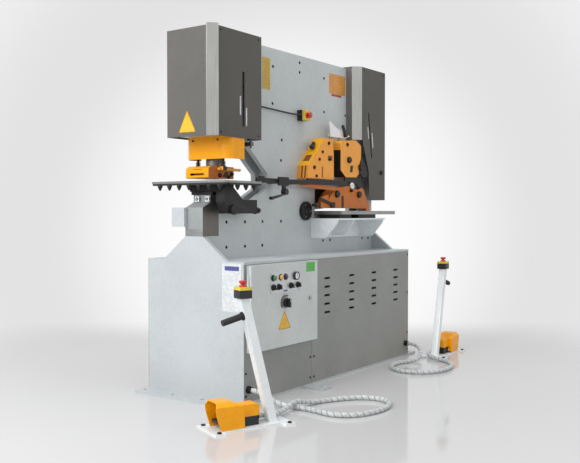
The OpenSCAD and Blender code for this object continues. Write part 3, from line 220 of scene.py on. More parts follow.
DUST_TOP = 0.22
CHIP_COLOUR = rgb(74, 70, 66)
DUST_COLOUR = rgb(176, 170, 160)


def paint(name, colour, rough, coat=0.0, chips=0.0, dust=0.0, depth=1.0, shine=0.5):
    """Sprayed paint: fine orange peel, soft cloudiness, small chips and dust low down."""
    f = Finish(name, Specular_IOR_Level=shine)
    here = f.place()
    cloud = f.clouds(here, 3.1, 4.0)
    mottle = f.clouds(here, 46.0)
    tone = f.step(cloud * 0.65 + mottle * 0.35, 0.34, 0.66)
    tint = f.blend(tone, shade(colour, 0.93), shade(colour, 1.05))
    smudge = f.clouds(f.place(stretch=(1.0, 1.0, 0.45), shift=(3.0, 1.0, 0.0)), 9.0, 5.0, 0.62)
    gloss = rough + (smudge - 0.5) * 0.22
    if chips:
        spot = f.clouds(here, 120.0, 2.0, 0.7)
        patch = f.clouds(here, 7.0, 2.0)
        chip = f.step(spot * 0.6 + patch * 0.4, 0.655 - chips * 0.05, 0.69 - chips * 0.05)
        tint = f.blend(chip * 0.75, tint, CHIP_COLOUR)
        gloss = gloss + chip * 0.2
    if dust:
        low = 1.0 - f.step(f.axes(here)[Z], 0.0, DUST_TOP)
        film = low * f.step(cloud, 0.3, 0.75) * dust
        tint = f.blend(film, tint, DUST_COLOUR)
        gloss = gloss + film * 0.3
    peel = f.clouds(here, 520.0, 1.0)
    wave = f.clouds(here, 34.0, 2.0)
    f.feed(Base_Color=tint, Roughness=gloss,
           Normal=f.relief(peel * 0.5 + wave * 0.9, 0.0005 * depth, 0.5))
    if coat:
        f.feed(Coat_Weight=coat, Coat_Roughness=0.12)
    return f.material


def ground_metal(name, colour, along, rough, stain, metallic=1.0):
    """Ground or milled steel: fine lines along one axis, stains and a few scratches."""
    f = Finish(name, Metallic=metallic)
    stretch = [260.0, 260.0, 260.0]
    stretch[along] = 5.0
    lines = f.clouds(f.place(stretch=stretch), 1.0, 3.0, 0.6)
    cloud = f.clouds(f.place(), 6.0, 5.0, 0.6)
    scratch = f.node("ShaderNodeTexVoronoi", {"feature": "DISTANCE_TO_EDGE"}, {
        "Vector": f.place(stretch=(30.0, 30.0, 30.0), turn=(0.4, 0.3, 0.9)), "Scale": 0.9})
    mark = 1.0 - f.step(scratch, 0.0, 0.012)
    dull = f.step(cloud, 0.42, 0.72) * stain
    tint = f.blend(f.step(lines, 0.3, 0.7), shade(colour, 0.86), shade(colour, 1.1))
    tint = f.blend(dull * 0.6, tint, shade(colour, 0.55))
    f.feed(Base_Color=f.blend(mark * 0.3, tint, shade(colour, 1.25)),
           Roughness=rough + (lines - 0.5) * 0.25 + dull * 0.18,
           Normal=f.relief(lines + mark * -0.6, 0.0002, 0.35))
    return f.material


def moulded(name, colour, rough, grain=500.0, coat=0.0):
    """Moulded plastic: fine spark grain and slightly uneven gloss."""
    f = Finish(name)
    here = f.place()
    cloud = f.clouds(here, 22.0)
    fine = f.node("ShaderNodeTexVoronoi", {}, {"Vector": here, "Scale": grain})
    f.feed(Base_Color=f.blend(f.step(cloud, 0.35, 0.7), shade(colour, 0.9), shade(colour, 1.12)),
           Roughness=rough + (cloud - 0.5) * 0.18, Normal=f.relief(fine, 0.0003, 0.22))
    if coat:
        f.feed(Coat_Weight=coat, Coat_Roughness=0.08)
    return f.material


def blackened(name, colour, rough):
    """Blackened steel: oily patches, rubbed edges and a fine rolled surface."""
    f = Finish(name, Metallic=0.55)
    here = f.place()
    cloud = f.clouds(here, 14.0, 5.0, 0.65)
    rub = f.step(f.clouds(f.place(stretch=(1.0, 1.0, 3.0)), 48.0, 4.0, 0.7), 0.6, 0.8)
    tint = f.blend(f.step(cloud, 0.3, 0.7), shade(colour, 0.75), shade(colour, 1.35))
    f.feed(Base_Color=f.blend(rub * 0.5, tint, rgb(96, 92, 90)),
           Roughness=rough + (cloud - 0.5) * 0.3 - rub * 0.12,
           Normal=f.relief(f.clouds(here, 260.0), 0.0003, 0.4))
    return f.material


def sleeve(name):
    """Spiral sleeve: pale band with a grey gap where the turns part."""
    f = Finish(name)
    here = f.place()
    gap = f.node("ShaderNodeAttribute", {"attribute_name": "gap"}, output="Fac")
    cloud = f.clouds(here, 60.0)
    band = f.blend(f.step(cloud, 0.3, 0.7), rgb(186, 190, 190), rgb(214, 217, 216))
    f.feed(Base_Color=f.blend(f.step(gap, 0.35, 0.75), band, rgb(142, 149, 153)),
           Roughness=0.42 + gap * 0.25,
           Normal=f.relief(cloud + f.clouds(here, 500.0, 2.0) * 0.4, 0.0003, 0.4))
    return f.material


def clear_sheet(name):
    """Clear impact-proof sheet, a little milky and finely scratched."""
    f = Finish(name, IOR=1.49)
    lines = f.clouds(f.place(stretch=(12.0, 12.0, 240.0), turn=(0.0, 0.5, 0.0)), 1.0)
    haze = f.clouds(f.place(turn=(0.0, 0.6, 0.0)), 18.0, 4.0)
    f.feed(Base_Color=f.blend(haze, rgb(246, 248, 248), rgb(254, 255, 255)),
           Roughness=0.12 + f.step(lines, 0.55, 0.8) * 0.25,
           Alpha=0.84 + f.step(haze, 0.4, 0.8) * 0.1, Normal=f.relief(lines, 0.0001, 0.3))
    return f.material


def print_plate(name, ground, second, axis, pitch, share):
    """Printed plate: a field of colour with faint plain bars, set out along one axis."""
    f = Finish(name, Coat_Weight=0.2)
    here = f.place()
    wave = (f.axes(here)[axis] / pitch) % 1.0
    edge = f.step(wave, share - 0.12, share + 0.12)
    cloud = f.clouds(here, 55.0)
    tone = f.step(cloud * 0.6 + f.clouds(here, 14.0, 4.0) * 0.4, 0.36, 0.64)
    base = f.blend(tone, shade(ground, 0.86), shade(ground, 1.08))
    f.feed(Base_Color=f.blend(edge * 0.3, base, second), Roughness=0.35 + (cloud - 0.5) * 0.2,
           Normal=f.relief(f.clouds(here, 300.0, 2.0), 0.0001, 0.3))
    return f.material


light_grey = paint("light grey paint", rgb(192, 198, 201), 0.4, coat=0.15, dust=0.2)
# Painted light: a paler grey for the jaw's end and slope, the faces that turn to the left lamp.
jaw_end_painted_light = paint("jaw block paint", rgb(150, 155, 156), 0.42, chips=0.1)
plate_grey = paint("frame plate paint", rgb(192, 198, 199), 0.36, coat=0.15)
panel_grey = paint("cabinet panel paint", rgb(146, 148, 145), 0.46, dust=0.3, chips=0.1, depth=1.4)
cover_grey = paint("cover paint", rgb(88, 86, 82), 0.5, depth=1.6, shine=0.3)
# Painted light: a paler copy of the cover paint for the ends and tops of the covers.
cover_painted_light = paint("cover end paint", rgb(100, 98, 95), 0.5, depth=1.6, shine=0.3)
door_grey = paint("door paint", rgb(204, 210, 209), 0.42, coat=0.1)
white_paint = paint("stand paint", rgb(241, 246, 248), 0.34, coat=0.3, dust=0.15)
orange = paint("orange guard paint", rgb(253, 168, 2), 0.34, coat=0.1, chips=0.35, shine=0.3)
deep_orange = paint("lower guard paint", rgb(206, 112, 18), 0.36, coat=0.1, chips=0.6, shine=0.3)
guard_orange = paint("front of the shear guards", rgb(249, 168, 62), 0.38, coat=0.1, chips=0.25,
                     shine=0.3)
# Painted highlight: a brighter orange for the slopes of the shear guards.
slope_painted_highlight = paint("slopes of the shear guards", rgb(255, 182, 14), 0.36, coat=0.1, chips=0.3,
                     shine=0.3)
# Painted shade: a darker brown for the sides of the stripper in the shade of the punch, with chips.
stripper_painted_shade = paint("side of the stripper", rgb(188, 104, 36), 0.5, chips=0.9, shine=0.3)
handle_orange = paint("stripper handle", rgb(246, 178, 70), 0.36, chips=0.2, shine=0.4)
# Painted shade: brown for gaps and recesses.
brown_painted_shade = paint("brown recess", rgb(132, 74, 30), 0.6, chips=0.4)
# Painted shade: a darker orange for the inside faces of the guards, with chips.
amber_painted_shade = paint("inside of the guards", rgb(196, 104, 22), 0.5, chips=0.7)
trim_metal = ground_metal("brushed trim", rgb(176, 176, 173), Z, 0.36, 0.25, 0.85)
table_steel = ground_metal("ground table steel", rgb(150, 150, 150), X, 0.34, 0.6, 0.9)
blade_steel = ground_metal("blade steel", rgb(176, 178, 180), X, 0.24, 0.35)
dark_steel = ground_metal("jaw steel", rgb(112, 108, 104), Z, 0.44, 0.7, 0.75)
rod_steel = ground_metal("chromed rod", rgb(196, 198, 200), Z, 0.16, 0.1)
bolt_steel = ground_metal("zinc plated bolts", rgb(176, 178, 178), Z, 0.34, 0.4)
plate_metal = ground_metal("control plate", rgb(206, 208, 209), X, 0.38, 0.2, 0.7)
# Darker steel strip low on the jaw's end.
jaw_strip_steel = ground_metal("worn jaw strip", rgb(150, 152, 152), Y, 0.46, 0.8, 0.6)
black_steel = blackened("blackened steel", rgb(40, 39, 40), 0.46)
black_screw = blackened("black screws", rgb(30, 30, 31), 0.4)
black_plastic = moulded("black plastic", rgb(26, 26, 28), 0.42)
knob_black = moulded("table knobs", rgb(17, 17, 19), 0.5)
grip_rubber = moulded("grip rubber", rgb(30, 31, 33), 0.6, 240.0)
red_plastic = moulded("red button", rgb(196, 26, 30), 0.3, coat=0.4)
yellow_plastic = moulded("yellow lid", rgb(226, 200, 60), 0.36, coat=0.2)
green_plastic = moulded("green button", rgb(24, 128, 70), 0.3, coat=0.4)
amber_lens = moulded("amber lens", rgb(250, 176, 84), 0.2, 900.0, coat=0.6)
blue_lens = moulded("dark lens", rgb(38, 40, 62), 0.2, 900.0, coat=0.6)
white_plate = moulded("white dial", rgb(236, 238, 238), 0.3, 700.0)
label_white = print_plate("pale label", rgb(222, 226, 228), rgb(206, 210, 214), Z, 0.022, 0.5)
label_yellow = print_plate("yellow label", rgb(196, 160, 52), rgb(170, 136, 46), Z, 0.017, 0.62)
label_orange = print_plate("orange label", rgb(216, 150, 62), rgb(196, 132, 52), Z, 0.02, 0.6)
label_red = print_plate("red strip", rgb(170, 62, 46), rgb(140, 50, 40), X, 0.02, 0.7)
label_green = print_plate("green tag", rgb(70, 176, 60), rgb(96, 196, 84), Z, 0.018, 0.5)
label_blue = print_plate("blue strip", rgb(78, 82, 148), rgb(92, 96, 160), Y, 0.03, 0.6)
sign_rim = print_plate("edge of the yellow triangle", rgb(196, 142, 26), rgb(190, 136, 24), Z,
                       0.04, 0.7)
sign_yellow = print_plate("yellow triangle", rgb(236, 184, 40), rgb(228, 174, 34), Z, 0.04, 0.7)
scale_white = moulded("scale face", rgb(214, 216, 216), 0.4, 800.0)
sleeve_grey = sleeve("spiral sleeve")
lead_black = moulded("black lead", rgb(22, 22, 24), 0.5, 700.0)
shield_clear = clear_sheet("clear shield")


# ------------------------------------------------------------------ shapes, given in millimetres

CORNER_STEPS = 4
STRAIGHT = math.radians(88)
SIDE_SHARE = 0.49
ROUTE_STEPS = 16
LAST_SHARE = 0.3
WELD = 0.004
FLAT = math.radians(0.5)
EDGE_ANGLE = math.radians(32)
SHARP = 38.0


def rounded(outline, radius):
    """Outline with its corners rounded."""
    made = []
    for i, corner in enumerate(outline):
        here, before, after = (Vector(outline[k % len(outline)]) for k in (i, i - 1, i + 1))
        back, on = before - here, after - here
        half = back.angle(on) / 2
        if half > STRAIGHT:
            made.append(tuple(here))
            continue
        reach = min(radius / math.tan(half), back.length * SIDE_SHARE, on.length * SIDE_SHARE)
        start, end = here + back.normalized() * reach, here + on.normalized() * reach
        for k in range(CORNER_STEPS + 1):
            t = k / CORNER_STEPS
            made.append(tuple(start * (1 - t) ** 2 + here * 2 * t * (1 - t) + end * t * t))
    return made


def rectangle(low, high, radius=0.0):
    corners = [(low[0], low[1]), (high[0], low[1]), (high[0], high[1]), (low[0], high[1])]
    return rounded(corners, radius) if radius else corners


def on_circle(centre, radius, turn):
    return centre[0] + radius * math.cos(turn), centre[1] + radius * math.sin(turn)


def across(axis, place, along):
    """Point from its place in the plane across an axis and its place along the axis."""
    u, v = place
    return [(along, u, v), (u, along, v), (u, v, along)][axis]


def smooth_route(points, spacing):
    """Evenly spaced points on a smooth curve through the given ones."""
    given = [Vector(p) for p in points]
    ends = [2 * given[0] - given[1]] + given + [2 * given[-1] - given[-2]]
    fine = []
    for i in range(1, len(ends) - 2):
        a, b, c, d = ends[i - 1:i + 3]
        for k in range(ROUTE_STEPS):
            t = k / ROUTE_STEPS
            fine.append(0.5 * (2 * b + (c - a) * t + (2 * a - 5 * b + 4 * c - d) * t ** 2
                               + (3 * b - a - 3 * c + d) * t ** 3))
    fine.append(given[-1])
    made = [fine[0]]
    left = spacing
    for start, end in zip(fine, fine[1:]):
        step = (end - start).length
        gone = 0.0
        while step - gone >= left:
            gone += left
            made.append(start.lerp(end, gone / step))
            left = spacing
        left -= step - gone
    if (made[-1] - fine[-1]).length > spacing * LAST_SHARE:
        made.append(fine[-1])
    else:
        made[-1] = fine[-1]
    return made


class Shape:
    """A mesh gathered from simple forms."""

    def __init__(self):
        self.mesh = bmesh.new()
        self.gap = self.mesh.verts.layers.float.new("gap")

    def add(self, points, faces, finish):
        corners = [self.mesh.verts.new(Vector(p) * MM) for p in points]
        for face in faces:
            self.mesh.faces.new([corners[i] for i in face]).material_index = finish
        return corners

    def prism(self, outline, axis, span, finish=0):
        n = len(outline)
        points = [across(axis, p, w) for w in span for p in outline]
        sides = [(k, (k + 1) % n, n + (k + 1) % n, n + k) for k in range(n)]
        return self.add(points, [tuple(range(n))[::-1], tuple(range(n, 2 * n))] + sides, finish)

    def box(self, low, high, finish):
        return self.prism(rectangle(low, high), Z, (low[Z], high[Z]), finish)

    def lathe(self, axis, centre, profile, finish=0, sides=32):
        """Profile of (radius, place along the axis) turned about it; radius 0 closes an end."""
        points, rings = [], []
        for radius, along in profile:
            count = sides if radius > 0 else 1
            rings.append(range(len(points), len(points) + count))
            points += [across(axis, on_circle(centre, radius, 2 * math.pi * k / sides), along)
                       for k in range(count)]
        faces = []
        for one, two in zip(rings, rings[1:]):
            for k in range(sides):
                corners = (one[k % len(one)], one[(k + 1) % len(one)],
                           two[(k + 1) % len(two)], two[k % len(two)])
                faces.append(tuple(dict.fromkeys(corners)))
        return self.add(points, [f for f in faces if len(f) > 2], finish)

    def stud(self, axis, centre, face, profile, finish=0, sides=32):
        """Turned form on a face; profile is (radius, how far it stands out of the face)."""
        return self.lathe(axis, centre, [(r, face - out) for r, out in profile], finish, sides)

    def tube(self, way, rule, sides):
        """Round tube along points; rule of (length so far, angle) gives its radius and gap."""
        heads = [(way[min(i + 1, len(way) - 1)] - way[max(i - 1, 0)]).normalized()
                 for i in range(len(way))]
        side = heads[0].orthogonal().normalized()
        gone = 0.0
        rings = []
        for i, (point, head) in enumerate(zip(way, heads)):
            side = (side - head * side.dot(head)).normalized()
            other = head.cross(side)
            if i:
                gone += (point - way[i - 1]).length
            ring = []
            for k in range(sides):
                angle = 2 * math.pi * k / sides
                radius, gap = rule(gone, angle)
                out = side * math.cos(angle) + other * math.sin(angle)
                corner = self.mesh.verts.new((point + out * radius) * MM)
                corner[self.gap] = gap
                ring.append(corner)
            rings.append(ring)
        for one, two in zip(rings, rings[1:]):
            for k in range(sides):
                on = (k + 1) % sides
                self.mesh.faces.new([one[k], one[on], two[on], two[k]])
        self.mesh.faces.new(rings[0][::-1])
        self.mesh.faces.new(rings[-1])

    def turn(self, vertices, matrix):
        """Moves some vertices; the matrix works in millimetres."""
        for v in vertices:
            v.co = matrix @ (v.co / MM) * MM


def smooth_shading(mesh, angle):
    mesh.shade_smooth()
    mesh.set_sharp_from_angle(angle=math.radians(angle))


def finish_piece(obj, body, stands_for=()):
    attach(obj, body)
    if stands_for:
        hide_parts(*stands_for)


def make_object(name, shape, finishes, bevel=0.0, segments=2, smooth=SHARP, turn_out=True):
    if turn_out:
        bmesh.ops.recalc_face_normals(shape.mesh, faces=shape.mesh.faces)
    mesh = bpy.data.meshes.new(name)
    shape.mesh.to_mesh(mesh)
    shape.mesh.free()
    for finish in finishes:
        mesh.materials.append(finish)
    smooth_shading(mesh, smooth)
    obj = link(name, mesh)
    if bevel:
        edge = obj.modifiers.new("edges", "BEVEL")
        edge.width = bevel * MM
        edge.segments = segments
        edge.limit_method = "ANGLE"
        edge.angle_limit = EDGE_ANGLE
        edge.harden_normals = False
        edge.use_clamp_overlap = True
    return obj


def piece(name, shape, body, finishes, slot, stands_for=(), **form):
    obj = make_object(name, shape, finishes, **form)
    finish_piece(obj, body, stands_for)
    return obj


def recut(node, finishes, bevel, choose=None, segments=2, cuts=(), lower=None):
    """A softened copy of a CAD part, its finishes chosen face by face; cuts part its faces.

    lower = (height, drop) lets everything above a height stand a little lower.
    """
    source = frame["nodes"][node]
    shape = Shape()
    mesh = shape.mesh
    mesh.from_mesh(source.data)
    bmesh.ops.remove_doubles(mesh, verts=mesh.verts, dist=WELD * MM)
    bmesh.ops.dissolve_limit(mesh, angle_limit=FLAT, verts=mesh.verts, edges=mesh.edges)
    for place, way in cuts:
        whole = list(mesh.verts) + list(mesh.edges) + list(mesh.faces)
        bmesh.ops.bisect_plane(mesh, geom=whole, plane_co=Vector(place) * MM, plane_no=way,
                               dist=1e-6)
    for vert in mesh.verts:
        if lower and vert.co.z > lower[0] * MM:
            vert.co.z -= lower[1] * MM
    for face in mesh.faces:
        corners = [v.co / MM for v in face.verts]
        middle = face.calc_center_median() / MM
        face.material_index = choose(middle, face.normal, corners) if choose else 0
    obj = make_object(node + "_finished", shape, finishes, bevel, segments, turn_out=False)
    finish_piece(obj, source["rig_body"], [node])


def recut_plain(*rows):
    """Softened copies of CAD parts in one finish each: rows of node, finish, slot and bevel."""
    for node, finish, slot, bevel in rows:
        recut(node, [finish], bevel)


def refinish(finish, *nodes):
    """A CAD part whose shape is right keeps its mesh and gets a better finish."""
    for node in nodes:
        mesh = frame["nodes"][node].data
        mesh.materials.clear()
        mesh.materials.append(finish)


# ------------------------------------------------------------------ repeated things, by node trees

class Tree(Nodes):
    """A geometry node tree with named inputs, which sets one thing on each given point."""

    def __init__(self, name, inputs):
        super().__init__(bpy.data.node_groups.new(name, "GeometryNodeTree"))
        new_socket = self.tree.interface.new_socket
        for label, kind in {"Geometry": "Geometry", **inputs, "Finish": "Material"}.items():
            new_socket(label, in_out="INPUT", socket_type="NodeSocket" + kind)
        new_socket("Geometry", in_out="OUTPUT", socket_type="NodeSocketGeometry")
        self.source = self.node("NodeGroupInput")

    def given(self, label):
        return self.source.also(label)

    def line(self, step):
        """A line of points, one step apart."""
        return self.node("GeometryNodeMeshLine", {"mode": "OFFSET"}, {
            "Count": self.given("Count"), "Offset": step})

    def close(self, thing, axis):
        """Sets the thing on each given point, with an axis of it along the point's facing."""
        facing = self.node("GeometryNodeInputNamedAttribute", {"data_type": "FLOAT_VECTOR"}, {
            "Name": "facing"})
        turn = self.node("FunctionNodeAlignRotationToVector", {"axis": axis}, {"Vector": facing})
        points = self.node("GeometryNodeMeshToPoints", {}, {"Mesh": self.given("Geometry")})
        spread = self.node("GeometryNodeInstanceOnPoints", {}, {
            "Points": points, "Instance": thing, "Rotation": turn})
        whole = self.node("GeometryNodeRealizeInstances", {}, {"Geometry": spread})
        coated = self.node("GeometryNodeSetMaterial", {}, {
            "Geometry": whole, "Material": self.given("Finish")})
        self.node("NodeGroupOutput", {}, {0: coated}, None)
        return self.tree


def grow(name, tree, body, points, facing, values, finish, smooth=30.0):
    """Runs a tree on points, each facing one way, and keeps the result as a plain mesh."""
    mesh = bpy.data.meshes.new(name + "_seed")
    mesh.from_pydata([Vector(p) * MM for p in points], [], [])
    ways = facing if isinstance(facing, list) else [facing] * len(points)
    for entry, way in zip(mesh.attributes.new("facing", "FLOAT_VECTOR", "POINT").data, ways):
        entry.vector = way
    seed = link(name + "_seed", mesh)
    modifier = seed.modifiers.new("grow", "NODES")
    modifier.node_group = tree
    for item in tree.interface.items_tree:
        if item.in_out == "INPUT" and item.name != "Geometry":
            modifier[item.identifier] = finish if item.name == "Finish" else values[item.name]
    graph = bpy.context.evaluated_depsgraph_get()
    made = bpy.data.meshes.new_from_object(seed.evaluated_get(graph), depsgraph=graph)
    seed.modifiers.remove(modifier)
    bpy.data.objects.remove(seed)
    made.name = name
    smooth_shading(made, smooth)
    finish_piece(link(name, made), body)


def screw_tree():
    """Cap screw with a socket, set on each point and turned to its facing."""
    tree = Tree("cap screws", {"Head radius": "Float", "Head height": "Float",
                               "Socket share": "Float", "Socket depth": "Float", "Sides": "Int"})
    head = tree.node("GeometryNodeMeshCylinder", {}, {
        "Vertices": tree.given("Sides"), "Radius": tree.given("Head radius"),
        "Depth": tree.given("Head height")}, "Mesh")
    rim = tree.node("GeometryNodeExtrudeMesh", {}, {
        "Mesh": head, "Selection": head.also("Top"), "Offset Scale": 0.0}, "Mesh")
    inset = tree.node("GeometryNodeScaleElements", {}, {
        "Geometry": rim, "Selection": rim.also("Top"), "Scale": tree.given("Socket share")})
    sunk = tree.node("GeometryNodeExtrudeMesh", {}, {
        "Mesh": inset, "Selection": rim.also("Top"), "Offset Scale": tree.given("Socket depth")},
        "Mesh")
    return tree.close(sunk, "Z")


def row_tree():
    """Row of bars from each point, every so many of them longer, as on a rule or a tread."""
    tree = Tree("row of bars", {"Count": "Int", "Step": "Vector", "Bar": "Vector",
                                "Long every": "Float", "Long by": "Vector"})
    bar = tree.node("GeometryNodeMeshCube", {}, {"Size": tree.given("Bar")}, "Mesh")
    turn_of = tree.node("GeometryNodeInputIndex") % tree.given("Long every")
    is_long = turn_of.math("LESS_THAN", turn_of, 0.5)
    size = tree.node("ShaderNodeMix", {"data_type": "VECTOR"}, {
        0: is_long, 4: (1.0, 1.0, 1.0), 5: tree.given("Long by")}, 1)
    row = tree.node("GeometryNodeInstanceOnPoints", {}, {
        "Points": tree.line(tree.given("Step")), "Instance": bar, "Scale": size})
    return tree.close(row, "X")


def ring_tree():
    """Rings along the facing of each point, as on a ribbed grip or hose."""
    tree = Tree("rings", {"Count": "Int", "Pitch": "Float", "Ring radius": "Float",
                          "Wire radius": "Float"})
    loop, wire = (tree.node("GeometryNodeCurvePrimitiveCircle", {}, {
        "Resolution": sides, "Radius": tree.given(radius)})
        for sides, radius in ((24, "Ring radius"), (6, "Wire radius")))
    ring = tree.node("GeometryNodeCurveToMesh", {}, {"Curve": loop, "Profile Curve": wire})
    step = tree.node("ShaderNodeCombineXYZ", {}, {"Z": tree.given("Pitch")})
    stack = tree.node("GeometryNodeInstanceOnPoints", {}, {
        "Points": tree.line(step), "Instance": ring})
    return tree.close(stack, "Z")


SCREWS, ROWS, RINGS = screw_tree(), row_tree(), ring_tree()
SOCKET_WIDTH, SOCKET_DEPTH, SCREW_SIDES = 0.56, 0.55, 18


def cap_screws(name, body, points, facing, radius, height, finish):
    values = {"Head radius": radius * MM, "Head height": height * MM, "Socket share": SOCKET_WIDTH,
              "Socket depth": -height * SOCKET_DEPTH * MM, "Sides": SCREW_SIDES}
    grow(name, SCREWS, body, points, facing, values, finish)


def bars(name, body, starts, facing, step, bar, count, every=1000.0, longer=(1.0, 1.0, 1.0)):
    """Rows of black plastic bars; every so many of a row, one is longer."""
    values = {"Count": count, "Step": [c * MM for c in step], "Bar": [c * MM for c in bar],
              "Long every": every, "Long by": longer}
    grow(name, ROWS, body, starts, facing, values, black_plastic)


# ------------------------------------------------------------------ cables

CABLE = 24.0
LEAD = 10.0
SLEEVE_PITCH = 34.0
SLEEVE_DEPTH = 1.7
SLEEVE_GAP = 0.13
CABLE_SPACING, CABLE_SIDES, PATH_EVERY = 3.6, 20, 3
LEAD_SPACING, LEAD_SIDES = 8.0, 14
LEFT_ROUTE = [
    (-838, -339, 75), (-836, -387, 72), (-828, -425, 58.5), (-814, -461, 36.5),
    (-799, -498, 19.5), (-787, -540, 12.5), (-780, -591, 12.5), (-780, -651, 12.5),
    (-789, -714, 12.5), (-798, -765, 12.5), (-795, -805, 12.5), (-782, -840, 12.5),
    (-759, -869, 12.5), (-726, -894, 12.5), (-681, -914, 12.5), (-627, -928, 12.5),
    (-572, -932, 12.5), (-520, -928, 12.5), (-477, -915, 12.5), (-443, -896, 12.5),
    (-419, -870, 12.5), (-404, -840, 12.5), (-399, -807, 12.5), (-404, -772, 12.5),
    (-420, -737, 12.5), (-448, -702, 12.5), (-490, -668, 12.5), (-545, -634, 12.5),
    (-602, -605, 13), (-657, -587, 16), (-712, -577, 25), (-762, -573, 36.5), (-808, -572, 35),
    (-857, -574, 24.5), (-908, -581, 20), (-952, -589, 22), (-994, -585, 22.5),
    (-1034, -573, 26.5), (-1083, -565, 32)]
RIGHT_ROUTE = [
    (826, -339, 85), (826, -374, 84.5), (818, -410, 79.5), (801, -441, 68.5), (776, -463, 53),
    (745, -477, 36), (711, -482, 23), (674, -478, 15), (630, -464, 12.5), (575, -445, 12.5),
    (522, -435, 12.5), (474, -435, 12.5), (429, -444, 12.5), (389, -463, 12.5), (354, -488, 12.5),
    (329, -519, 12.5), (313, -554, 12.5), (306, -591, 12.5), (309, -629, 12.5), (321, -664, 12.5),
    (343, -696, 12.5), (375, -724, 12.5), (415, -746, 12.5), (461, -761, 12.5), (511, -766, 12.5),
    (564, -763, 12.5), (616, -751, 12.5), (664, -731, 12.5), (707, -703, 12.5), (741, -669, 12.5),
    (768, -630, 13), (788, -581, 14), (808, -537, 16), (832, -503, 19), (862, -480, 21.5),
    (896, -467, 23), (936, -464, 27), (979, -468, 32)]
LEAD_ROUTE = [
    (-520, -85, 1533), (-470, -85, 1530.5), (-400, -85, 1527.5), (-320, -85, 1524),
    (-240, -85, 1521), (-170, -85, 1518.5), (-120, -85, 1517.5), (-84, -85, 1517.5),
    (-54, -85, 1518)]


def sleeve_rule(gone, angle):
    """Radius of the spiral sleeve: a flat band with a narrow gap once a turn."""
    phase = (gone / SLEEVE_PITCH - angle / (2 * math.pi)) % 1.0
    gap = min(1.0, max(0.0, 1.0 - abs(phase - 0.5) / SLEEVE_GAP) * 1.4)
    return CABLE / 2 - SLEEVE_DEPTH * gap, gap


def make_cable(name, node, route):
    way = smooth_route(route, CABLE_SPACING)
    shape = Shape()
    shape.tube(way, sleeve_rule, CABLE_SIDES)
    obj = piece(name, shape, "machine", [sleeve_grey], "cable_sleeve", [node], smooth=60.0)


def make_lead():
    shape = Shape()
    way = smooth_route(LEAD_ROUTE, LEAD_SPACING)
    shape.tube(way, lambda gone, angle: (LEAD / 2, 0.0), LEAD_SIDES)
    piece("stop_lead", shape, "machine", [lead_black], "black_plastic", ["estop_lead"], smooth=60.0)


make_cable("left_cable_sleeve", "left_cable", LEFT_ROUTE)
make_cable("right_cable_sleeve", "right_cable", RIGHT_ROUTE)
make_lead()


# ------------------------------------------------------------------ places on the machine

FRAME_FRONT = -60.0
DOOR_FRONT = -355.5
PLATE_FRONT = -357.5
GUARD_FRONT = -138.0
PUNCH_COVER_FRONT = -155.0
SHEAR_COVER_FRONT = -149.0
COVER_END = -900.0
CABINET_END = -870.0
STRIPPER_POST_X = -740
POST_LEAN = math.radians(14.4)
POST_FOOT = Vector((126, 0, 8))
CONSOLES = {
    side: Matrix.Translation(place) @ Matrix.Rotation(math.radians(turn), 4, "Z")
    for side, place, turn in (("left", (-1150, -565, 0), -23), ("right", (1042, -490, 0), 184))}
STOP = (-4, 1518)


def on_post(height):
    """Place on the middle line of a console's leaning post."""
    rise = height - POST_FOOT.z
    return POST_FOOT + Vector((-math.tan(POST_LEAN) * rise, 0, rise))


POST_TOP = Matrix.Translation(on_post(570))
STOP_PLACES = {
    "plate": Matrix.Translation((STOP[0], FRAME_FRONT, STOP[1]))
             @ Matrix.Rotation(math.radians(90), 4, "X"),
    "left": CONSOLES["left"] @ POST_TOP,
    "right": CONSOLES["right"] @ POST_TOP,
}
PIVOT = (43, 956)
PIVOT_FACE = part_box("pivot_pin")[0][Y] / MM


# ------------------------------------------------------------------ cabinet and frame

refinish(plate_grey, "main_frame", "frame_plate_front", "frame_plate_rear",
         "punch_cylinder", "shear_cylinder")
refinish(light_grey, "base_frame")
refinish(panel_grey, "cabinet_panels", "power_pack")
refinish(rod_steel, "shear_rod")
refinish(door_grey, "control_box")

JAW_TOP, JAW_SPLIT = 973.0, 862.0
STRIPPER_POST_FOOT, STRIPPER_SIDE = 1186, 86


def jaw_finish(centre, normal, corners):
    """The end is a paler paint, painted light, above a darker steel strip; black beside the bolster
    and bare steel elsewhere.
    """
    if centre.z > JAW_TOP + 1 and (abs(normal.y) > 0.5 or normal.z > 0.95):
        return 2
    if normal.x < -0.3:
        return 1 if centre.z > JAW_SPLIT else 3
    return 0


recut("jaw_block", [dark_steel, jaw_end_painted_light, black_steel, jaw_strip_steel], 2.0,
      jaw_finish, cuts=[((0, 0, JAW_SPLIT), UP)])
recut_plain(("slug_box", light_grey, "pale_paint", 1.2),
            ("screws_and_glands", black_screw, "black_steel", 0.8),
            ("shear_bracket", white_paint, "pale_paint", 1.6))


# ------------------------------------------------------------------ punch side

def cover_finish(centre, normal, corners):
    """The end and the top of a cover are a paler tone than its sides, painted light where the lamps
    fall on them.
    """
    return 1 if abs(normal.x) > 0.9 or normal.z > 0.9 else 0


def stripper_finish(centre, normal, corners):
    """Posts are black; the walls of the slot are black and the sides in the shade of the punch a
    darker brown, both painted shade.
    """
    if centre.z > STRIPPER_POST_FOOT or abs(centre.y) > STRIPPER_SIDE:
        return 1
    # Painted shade: the walls of the slot are black.
    in_slot = -846 < centre.x < -814 and -47 < centre.y < 49 and 1136 < centre.z < 1149
    if in_slot and normal.x > -0.9:
        return 1
    return 2 if abs(normal.y) > 0.9 and abs(centre.y) < 77.5 else 0


